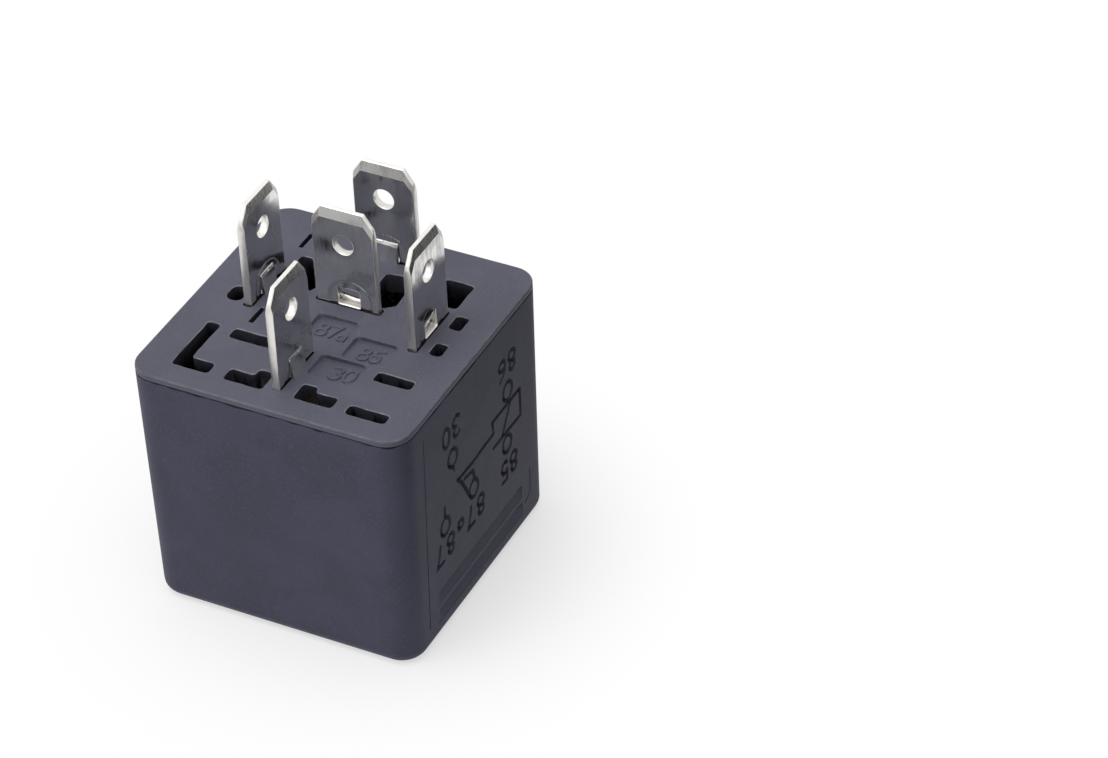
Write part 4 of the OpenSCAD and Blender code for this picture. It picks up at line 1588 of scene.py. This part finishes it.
            # The lip round each opening is marked lighter: wearing and a painted highlight, a light line
            # round the opening.
            rub_and_highlight = 1.0 if 0 < i < 3 else 0.0
            rings.append(draft.level_ring(flat, self.face_z - lip * (1 - math.cos(a)), rub_and_highlight))
        edge = self.skirt_inner - 0.1
        held = [(max(-edge, min(edge, x)), max(-edge, min(edge, y))) for x, y in outline]
        rings.append(draft.level_ring(held, self.face_z - self.plate))
        for k, (a, b) in enumerate(zip(rings, rings[1:])):
            # Below the lip the wall takes the darker wall plastic: painted shade inside the opening.
            draft.strip(a, b, int(k > 2), flip=True)
        return rings[0], rings[-1]

    def _post(self, draft: MeshDraft, x: float, y: float) -> Ring:
        """Adds a post below the plate, with a flat where it is one of the front pair.

        Args:
            draft: The base's draft.
            x: Its middle.
            y: Its middle.

        Returns:
            The ring that it leaves in the plate's underside.
        """
        circle = arc_points(x, y, self.post_radius, self.post_radius, 0, 345, 23)
        if y < self.post_flat:
            circle = [(u, min(v, self.post_flat) if v > y else v) for u, v in circle]
        foot = draft.level_ring(circle, self.face_z - self.plate)
        end = draft.level_ring(circle, self.post_low)
        draft.strip(foot, end, flip=True)
        draft.face(end.ids, flip=True)
        return foot

    def _panel(self, draft: MeshDraft, outline: list[Point2], corners: Sequence[Point2]) -> Ring:
        """Adds a sunk panel, deepest at its far left.

        Args:
            draft: The base's draft.
            outline: The panel's outline.
            corners: The panel's corners.

        Returns:
            The ring that it leaves in the outer face.
        """
        sink = self._sink(corners)
        # The panel's rim is marked a little lighter: wearing and a painted highlight.
        steps = ((0.03, 0.0, 0.0), (0.0, 0.08, 0.3), (0.0, 0.9, 0.0), (-0.05, 1.0, 0.0))
        rings = [
            draft.ring(grown(outline, out), lambda x, y, s=share: (x, y, self.face_z - s * sink(x, y)), wear_and_highlight)
            for out, share, wear_and_highlight in steps
        ]
        for a, b in zip(rings, rings[1:]):
            draft.strip(a, b, flip=True)
        draft.sheet(rings[-1], [], lambda x, y: (x, y, self.face_z - sink(x, y)))
        return rings[0]

    def _sink(self, corners: Sequence[Point2]) -> Callable[[float, float], float]:
        """Gives the depth of a panel's floor at a place.

        Args:
            corners: The panel's corners.

        Returns:
            The depth as a function of the place.
        """
        (x0, y0), (x1, y1) = corners[0], corners[2]
        near, tilt = 0.75, 0.4
        return lambda x, y: self.panel_depth * (
            near + tilt * (y - y0) / (y1 - y0) - tilt * (x - x0) / (x1 - x0)
        )

    def _raised(self, sink: Callable[[float, float], float], up: float) -> Placer:
        """Puts points at a height above a panel's floor."""
        return lambda x, y: (x, y, self.face_z - sink(x, y) + up)

    def _figures(self, finishes: Finishes) -> Iterator[bpy.types.Object]:
        """Builds the raised terminal numbers of the panels.

        Args:
            finishes: What they are made of.

        Yields:
            Objects whose bodies don't touch each other.
        """
        for corners, rows in zip(self.panels, self.numbers):
            sink = self._sink(corners)
            section = ((0.15, -0.15), (0.13, 0.08), (0.07, 0.15))
            levels = [(half, self._raised(sink, up)) for half, up in section]
            for group in apart([stroke for row in rows for stroke in row.strokes()], 0.16):
                draft = MeshDraft()
                stroke_bodies(draft, group, levels)
                yield draft.make("raised_numbers", finishes)


# ------------------------------------------------------------------ blades


@dataclass(frozen=True)
class Stand:
    """Where and how a blade stands.

    Attributes:
        node: Its CAD node.
        at: Its middle in plan.
        turned: True where it stands along Y.
        spring: Side that its tongue springs to, -1 for the near one.
        press: Depth of the arch pressed round the window, as a share of the full depth.
        shift: How far the window and the arch sit off the middle.
        slot: Half length of its slot in the base.
    """

    node: str
    at: Point2
    turned: bool
    spring: int
    press: float
    shift: Point2 = (0.0, 0.0)
    slot: float = 3.4


class BladePlace(Enum):
    """The five blades."""

    COMMON = Stand("terminal_30", (0.0, -7.9), True, -1, 0.25, slot=3.2)
    COIL_RIGHT = Stand("terminal_85", (8.5, 2.0), True, 1, 0.5)
    COIL_LEFT = Stand("terminal_86", (-8.5, 2.0), True, -1, 0.6)
    WORK = Stand("terminal_87", (0.0, 10.5), False, -1, 0.8)
    REST = Stand("terminal_87a", (0.0, 2.7), False, 1, 1.0, (0.12, 0.35))

    def to_base(self, u: float, v: float) -> Point2:
        """Turns the blade's own plan place into the base's."""
        x, y = self.value.at
        return (x - v, y + u) if self.value.turned else (x + u, y + v)

    def slot(self) -> list[Point2]:
        """Corners of the blade's slot in the base, anticlockwise."""
        end, half = self.value.slot, 0.52
        return [self.to_base(*p) for p in ((-end, -half), (end, -half), (end, half), (-end, half))]


class Zone(Enum):
    """Finishes on a blade."""

    FACE = 0
    SHEARED = 1
    COINED_PAINTED_SHADE = 2


class Side(Enum):
    """Patches of a blade that meet at crisp edges."""

    RIM = 0
    NEAR = 10
    FAR = 20
    TONGUE = 30


@dataclass
class Blade:
    """A stamped blade: coined tip, punched hole, and a window with its sprung tongue.

    In its own frame it is wide along u, thick along w and stands along z from the base.

    Attributes:
        place: Which blade it is.
        width: Width.
        thick: Thickness.
        length: Height above the base.
        foot: How far it reaches below the base's outer face.
        hole: Diameter of the locking hole.
        hole_tip: From the hole to the tip.
        corner: Width and height cut off each corner of the tip.
        bevel: Height and depth of the coined bevel at the tip.
        side_bevel: Width of the bevel along the cut corners.
        roll: Radius that the die rolls over the near edges.
        window: Width and height of the window.
        tongue_width: Width of the tongue.
        spread: How far the tongue's end stands off the blade, on the near and the far side.
        dish: Half width and height of the pressed arch.
        dish_mid: Height up to which the arch's sides are straight.
        dish_depth: Its full depth.
        face_z: Height of the base's outer face.
    """

    place: BladePlace
    width: float = 6.3
    thick: float = 0.8
    length: float = 10.6
    foot: float = 2.0
    hole: float = 2.1
    hole_tip: float = 3.7
    corner: Point2 = (1.0, 1.5)
    bevel: Point2 = (1.1, 0.22)
    side_bevel: float = 0.5
    roll: float = 0.07
    window: Point2 = (2.3, 1.9)
    tongue_width: float = 2.26
    spread: Point2 = (0.4, 0.53)
    dish: Point2 = (2.35, 3.0)
    dish_mid: float = 0.9
    dish_depth: float = 0.12
    face_z: float = 26.5

    def _outline(self) -> list[Point2]:
        """The blade's outline, anticlockwise as seen from the near side."""
        w, l = self.width / 2, self.length
        cw, ch = self.corner
        corners = [(-w, -self.foot), (w, -self.foot), (w, l - ch), (w - cw, l), (-w + cw, l), (-w, l - ch)]
        return spaced(corners, 0.45)

    def _coined(self, u: float, z: float) -> float:
        """Gives the depth of the coined bevel.

        Args:
            u: Place across the blade.
            z: Height above the base.

        Returns:
            The depth there.
        """
        w, l = self.width / 2, self.length
        cw, ch = self.corner
        height, depth = self.bevel
        slope = math.hypot(cw, ch)
        cut = ((w - abs(u)) * ch + (l - z) * cw - cw * ch) / slope
        return depth * max(0.0, 1 - (l - z) / height, 0.9 * (1 - cut / self.side_bevel))

    def _facet(self, u: float, z: float) -> int:
        """Tells the coined facets apart.

        Args:
            u: Place across the blade.
            z: Height above the base.

        Returns:
            0 for none, then the top, the left and the right one.
        """
        if self._coined(u, z) <= 0.002:
            return 0
        top = 1 - (self.length - z) / self.bevel[0]
        if top >= self._coined(u, z) / self.bevel[1] - 1e-6:
            return 1
        return 2 if u < 0 else 3

    def _dished(self, u: float, z: float) -> float:
        """Gives the depth of the shallow arch pressed round the window.

        Args:
            u: Place across the blade.
            z: Height above the base.

        Returns:
            The depth there.
        """
        a, top = self.dish
        mid = self.dish_mid
        u -= self.place.value.shift[1]
        r = math.hypot(u / a, max(0.0, z - mid) / (top - mid)) if z > mid else abs(u) / a
        step = min(1.0, max(0.0, (1.0 - r) / 0.16))
        lower = min(1.0, max(0.0, (z + 0.6) / 0.5))
        return self.place.value.press * self.dish_depth * step * step * (3 - 2 * step) * lower

    def _put(self, u: float, w: float, z: float) -> Point3:
        """Puts a place of the blade's frame into the relay's."""
        x, y = self.place.to_base(u, w)
        return (x, y, self.face_z + z)

    def _on_near(self, u: float, z: float, under: float = 0.0) -> Point3:
        """Puts a place of the near face, or so far under it, into the relay's frame."""
        return self._put(u, -self.thick / 2 + self._coined(u, z) + self._dished(u, z) + under, z)

    def _on_far(self, u: float, z: float, under: float = 0.0) -> Point3:
        """Puts a place of the far face, or so far under it, into the relay's frame."""
        return self._put(u, self.thick / 2 - self._coined(u, z) + 0.6 * self._dished(u, z) - under, z)

    def _rim(
        self, draft: MeshDraft, outline: list[Point2], sign: float, smooth_above: float = math.inf
    ) -> tuple[Ring, Ring]:
        """Adds the sheared wall along an outline.

        Args:
            draft: The blade's draft.
            outline: The outline, anticlockwise.
            sign: 1 for the outside, -1 for a hole.
            smooth_above: Height above which the wall is smooth like the faces.

        Returns:
            The ring in the near face and the ring in the far face.
        """
        r = self.roll
        steps = (
            (r, 0.0, 0.3, self._on_near),
            (0.3 * r, 0.3 * r, 1.0, self._on_near),
            (0.0, r, 0.4, self._on_near),
            (0.0, self.thick * 0.45, 0.0, self._on_near),
            (0.02, 0.03, 0.5, self._on_far),
            (0.05, 0.0, 0.3, self._on_far),
        )
        rings = [
            draft.ring(grown(outline, -sign * inset), lambda u, z, on=on, d=under: on(u, z, d), wear_and_highlight)
            for inset, under, wear_and_highlight, on in steps
        ]
        draft.patch = Side.RIM.value
        for a, b in zip(rings, rings[1:]):
            for i in range(len(a.ids)):
                j = (i + 1) % len(a.ids)
                smooth = min(a.flat[i][1], a.flat[j][1]) > smooth_above
                zone = Zone.FACE if smooth else Zone.SHEARED
                draft.face((a.ids[i], a.ids[j], b.ids[j], b.ids[i]), zone.value, sign < 0)
        return rings[0], rings[-1]

    def build(self, palette: Palette) -> bpy.types.Object:
        """Builds and dresses the blade.

        Args:
            palette: The materials.

        Returns:
            The blade.
        """
        draft = MeshDraft()
        stand = self.place.value
        outer = self._rim(draft, self._outline(), 1)
        circle = arc_points(0, self.length - self.hole_tip, self.hole / 2, self.hole / 2, 0, 348.75, 31)
        hole = self._rim(draft, circle, -1)
        ww, wh = self.window
        mid = stand.shift[0]
        corners = [(mid - ww / 2, 0.0), (mid + ww / 2, 0.0), (mid + ww / 2, wh), (mid - ww / 2, wh)]
        window = self._rim(draft, rounded_outline(corners, 0.14, 4), -1, 0.05)
        extra = self._arch_points()
        creases = self._creases()
        # Coined facets take the darker coined tin: painted shade on the bevel.
        for turn, (place, side) in enumerate(((self._on_near, Side.NEAR), (self._on_far, Side.FAR))):
            draft.sheet(
                outer[turn],
                [hole[turn], window[turn]],
                place,
                lambda p: Zone.COINED_PAINTED_SHADE.value if self._facet(*p) else Zone.FACE.value,
                flip=side is Side.FAR,
                extra=extra,
                creases=creases,
                facet=lambda p, first=side.value: first + self._facet(*p),
            )
        draft.patch = Side.TONGUE.value
        self._tongue(draft)
        finishes = palette.pick(Finish.TIN, Finish.TIN_SHEARED, Finish.TIN_COINED_PAINTED_SHADE)
        blade = draft.make(f"{stand.node}_stamped", finishes, 45.0)
        self._join_tail(blade)
        return blade

    def _arch_points(self) -> list[Point2]:
        """Points that carry the pressed arch."""
        a, top = self.dish
        mid = self.place.value.shift[1]
        points: list[Point2] = []
        for scale in (1.03, 0.99, 0.95, 0.91, 0.87, 0.82, 0.74, 0.64):
            points += arc_points(mid, self.dish_mid, a * scale, (top - self.dish_mid) * scale, 0, 180, 26)
            for k in range(6):
                z = self.dish_mid - 0.3 * (k + 1)
                points += [(mid - a * scale, z), (mid + a * scale, z)]
        return points

    def _creases(self) -> list[list[Point2]]:
        """Lines where the coined bevel starts and where its facets meet."""
        w, l = self.width / 2, self.length
        cw, ch = self.corner
        h = self.bevel[0]
        reach = self.side_bevel * math.hypot(cw, ch)
        inner = w - 0.02 - self.roll
        z_side = l - (cw * ch + reach - (w - inner) * ch) / cw
        meet = w - (cw * ch + reach - h * cw) / ch
        # The facets' edges end just inside the rolled rim.
        top = l - self.roll - 0.03
        return [
            [(-inner, z_side), (-meet, l - h), (meet, l - h), (inner, z_side)],
            [(meet, l - h), (w - cw - 0.06, top)],
            [(-meet, l - h), (-w + cw + 0.06, top)],
        ]

    def _tongue(self, draft: MeshDraft) -> None:
        """Adds the tongue, sprung to the blade's own side.

        Args:
            draft: The blade's draft.
        """
        stand = self.place.value
        half, mid = self.tongue_width / 2, stand.shift[0]
        near = stand.spring < 0
        top, lead, below, steps = self.window[1], 0.12, 0.06, 22
        rows: list[list[int]] = []
        for i in range(steps + 1):
            f = i / steps
            z = top + lead - f * (top + lead + below)
            start = min(1.0, f / 0.14)
            near_bend = 0.2 * start * start * (3 - 2 * start) + 0.8 * f**1.15
            bend = self.spread[0] * near_bend if near else self.spread[1] * f**2.1
            outer, thick = self.thick / 2 + bend - 0.02, 0.5 - 0.04 * f
            corners = [(-half, outer - thick), (half, outer - thick), (half, outer), (-half, outer)]
            section = rounded_outline(corners, 0.06, 2)
            if near:
                section = [(-u, -w) for u, w in section]
            rows.append([draft.add(self._put(mid + u, w, z), 0.5) for u, w in section])
        n = len(section)
        for a, b in zip(rows, rows[1:]):
            for i in range(n):
                j = (i + 1) % n
                # The tongue's flanks take the darker coined tin: painted shade.
                flank = abs(section[i][0] - section[j][0]) < 0.01
                draft.face((a[i], a[j], b[j], b[i]), Zone.COINED_PAINTED_SHADE.value if flank else Zone.FACE.value)
        draft.face(rows[0], Zone.FACE.value, True)
        draft.face(rows[-1], Zone.SHEARED.value)

    def _join_tail(self, blade: bpy.types.Object) -> None:
        """Adds the part below the plate from the CAD node.

        Args:
            blade: The blade, which receives it.
        """
        source = frame["nodes"][self.place.value.node]
        bm = bmesh.new()
        bm.from_mesh(source.data)
        cut = (self.face_z - self.foot) * MM
        bmesh.ops.remove_doubles(bm, verts=bm.verts, dist=1e-7)
        geom = [*bm.verts, *bm.edges, *bm.faces]
        bmesh.ops.bisect_plane(
            bm, geom=geom, dist=2e-6, plane_co=(0, 0, cut), plane_no=(0, 0, 1), clear_outer=True
        )
        bmesh.ops.holes_fill(bm, edges=[e for e in bm.edges if e.is_boundary], sides=0)
        for face in bm.faces:
            face.material_index = Zone.FACE.value
            face.smooth = False
        mesh = bpy.data.meshes.new("tail")
        bm.to_mesh(mesh)
        bm.free()
        mesh.materials.clear()
        for finish in blade.data.materials:
            mesh.materials.append(finish)
        tail = put_in_scene("tail", mesh)
        with bpy.context.temp_override(active_object=blade, selected_editable_objects=[blade, tail]):
            bpy.ops.object.join()


# ------------------------------------------------------------ inner pieces


@dataclass
class InnerWorks:
    """The magnet and the contacts, which keep their solids.

    Attributes:
        finishes: The finish of each inner CAD node.
    """

    finishes: dict[str, Finish] = field(
        default_factory=lambda: {
            "common_rivets": Finish.BRASS,
            "yoke": Finish.STEEL,
            "core": Finish.IRON,
            "bobbin": Finish.NYLON,
            "coil_winding": Finish.WINDING,
            "coil_lead_85": Finish.WINDING,
            "coil_lead_86": Finish.WINDING,
            "solder_joints": Finish.SOLDER,
            "work_contact": Finish.SILVER,
            "rest_contact": Finish.SILVER,
            "return_spring": Finish.SPRING,
            "flex_braid": Finish.COPPER,
            "armature": Finish.STEEL,
            "contact_arm": Finish.BRONZE,
            "arm_rivets": Finish.BRASS,
            "moving_contact": Finish.SILVER,
        }
    )

    def dress(self, palette: Palette) -> int:
        """Gives each inner piece its finish.

        Args:
            palette: The materials.

        Returns:
            How many pieces there are.
        """
        for node, finish in self.finishes.items():
            mesh = frame["nodes"][node].data
            mesh.materials.clear()
            mesh.materials.append(palette.made[finish])
        return len(self.finishes)


# ------------------------------------------------------------------ studio


@dataclass
class Studio:
    """Pale floor, soft lamps, even surroundings and the camera.

    Attributes:
        eye: Where the camera is, in metres.
        azimuth: Degrees that the camera stands round to the right of the front.
        elevation: Degrees that it looks down.
        roll: Degrees that it is turned about its own axis.
        lens: Focal length in millimetres.
    """

    eye: Point3 = (0.15532, -0.25209, 0.24885)
    azimuth: float = 27.845
    elevation: float = 37.925
    roll: float = -2.541
    lens: float = 132.20

    def build(self) -> None:
        """Builds the studio."""
        self._floor()
        self._flag()
        self._lamp("top_softbox", (-0.10, -0.10, 0.75), 0.70, 4.2)
        self._lamp("left_softbox", (-0.55, -0.55, 0.45), 0.50, 1.3)
        self._world()
        self._camera()
        bpy.context.scene.view_settings.view_transform = "Standard"

    @staticmethod
    def _panel(
        name: str, points: Sequence[Point3], faces: Sequence[Sequence[int]], material: bpy.types.Material
    ) -> bpy.types.Object:
        """Makes a plain object of the studio.

        Args:
            name: Its name.
            points: Its points, in metres.
            faces: Numbers of each face's points.
            material: Its material.

        Returns:
            The object.
        """
        mesh = bpy.data.meshes.new(name)
        mesh.from_pydata(points, [], faces)
        mesh.materials.append(material)
        return put_in_scene(name, mesh)

    def _floor(self) -> None:
        """Lays the floor: it holds the shadow near the relay and runs out to white."""
        material, sheet, shader = FinishBase.begin("pale_floor")
        shader.inputs["Base Color"].default_value = (0.93, 0.93, 0.935, 1)
        shader.inputs["Roughness"].default_value = 0.9
        shader.inputs["Specular IOR Level"].default_value = 0.0
        length = sheet.add("VectorMath", operation="LENGTH")
        sheet.join(sheet.place(), length.inputs[0])
        away = sheet.band(length.outputs["Value"], 0.014, 0.035, 0.6, 1.0)
        glow = sheet.add("Emission", Strength=1.0)
        glow.inputs["Color"].default_value = (1, 1, 1, 1)
        mix = sheet.add("MixShader")
        sheet.join(sheet.maths("MULTIPLY", away, sheet.seen()), mix.inputs[0])
        sheet.join(shader.outputs[0], mix.inputs[1])
        sheet.join(glow.outputs[0], mix.inputs[2])
        sheet.join(mix.outputs[0], material.node_tree.nodes["Material Output"].inputs["Surface"])
        points = [(-3, -3, 0), (3, -3, 0), (3, 3, 0), (-3, 3, 0)]
        floor = self._panel("floor", points, [(0, 1, 2, 3)], material)

    def _flag(self) -> None:
        """Stands a dark flag to the right, which only reflections and bounced light meet."""
        material, _, shader = FinishBase.begin("black_cloth")
        shader.inputs["Base Color"].default_value = (0.11, 0.11, 0.12, 1)
        shader.inputs["Roughness"].default_value = 0.9
        (x0, y0), (x1, y1), high = (0.036, -0.022), (0.06, 0.05), 0.034
        corners = [(x0, y0), (x1, y0), (x1, y1), (x0, y1)]
        points = [(x, y, z) for z in (0.0, high) for x, y in corners]
        sides = [(i, (i + 1) % 4, (i + 1) % 4 + 4, i + 4) for i in range(4)]
        flag = self._panel("dark_flag", points, [*sides, (4, 5, 6, 7)], material)
        flag.visible_camera = False
        flag.visible_shadow = False
        flag.visible_transmission = False

    @staticmethod
    def _lamp(name: str, at: Point3, size: float, power: float) -> None:
        """Hangs a square soft lamp that points at the relay.

        Args:
            name: The lamp's name.
            at: Where it hangs, in metres.
            size: Its width, in metres.
            power: Its power, in watts.
        """
        lamp = bpy.data.lights.new(name, "AREA")
        lamp.shape = "SQUARE"
        lamp.size = size
        lamp.energy = power
        obj = put_in_scene(name, lamp)
        obj.location = at
        obj.rotation_euler = (Vector((0, 0, 0.015)) - Vector(at)).to_track_quat("-Z", "Y").to_euler()

    @staticmethod
    def _world() -> None:
        """Makes the surroundings white to the eye and in gloss, and weaker as light."""
        world = bpy.data.worlds.new("studio_room")
        world.use_nodes = True
        sheet = Sheet(world.node_tree)
        back = world.node_tree.nodes["Background"]
        back.inputs["Color"].default_value = (1, 1, 1, 1)
        sheet.join(sheet.maths("MULTIPLY_ADD", sheet.seen(), 0.65, 0.35), back.inputs["Strength"])
        bpy.context.scene.world = world

    def _camera(self) -> None:
        """Places the camera."""
        az, el, roll = (math.radians(a) for a in (self.azimuth, self.elevation, self.roll))
        back = Vector((math.sin(az) * math.cos(el), -math.cos(az) * math.cos(el), math.sin(el)))
        right = (-back).cross(Vector((0, 0, 1))).normalized()
        up = right.cross(-back)
        side = right * math.cos(roll) + up * math.sin(roll)
        over = -right * math.sin(roll) + up * math.cos(roll)
        data = bpy.data.cameras.new("camera")
        data.sensor_width = 36.0
        data.sensor_fit = "HORIZONTAL"
        data.lens = self.lens
        camera = put_in_scene("camera", data)
        turn = Matrix((side, over, back)).transposed().to_4x4()
        camera.matrix_world = Matrix.Translation(self.eye) @ turn
        bpy.context.scene.camera = camera


def ride_for(piece: bpy.types.Object, node: str) -> None:
    """Lets a piece stand for a CAD node, on that node's body.

    Args:
        piece: The piece.
        node: The node.
    """
    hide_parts(node)
    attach(piece, frame["nodes"][node]["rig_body"])


def main() -> None:
    """Builds the relay, piece by piece, and the studio."""
    logging.basicConfig(level=logging.INFO, format="%(name)s: %(message)s")
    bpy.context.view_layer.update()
    palette = Palette(Effects())
    cover = Cover().build(palette)
    ride_for(cover, "cover")
    LOG.info("cover: %d faces", len(cover.data.polygons))
    base = Base().build(palette)
    ride_for(base, "base")
    LOG.info("base: %d faces", len(base.data.polygons))
    for place in BladePlace:
        blade = Blade(place).build(palette)
        ride_for(blade, place.value.node)
        LOG.info("%s: %d faces", place.value.node, len(blade.data.polygons))
    LOG.info("inner pieces: %d dressed", InnerWorks().dress(palette))
    Studio().build()
    bpy.context.view_layer.update()
    LOG.info("sizes written")


if __name__ == "__main__":
    main()
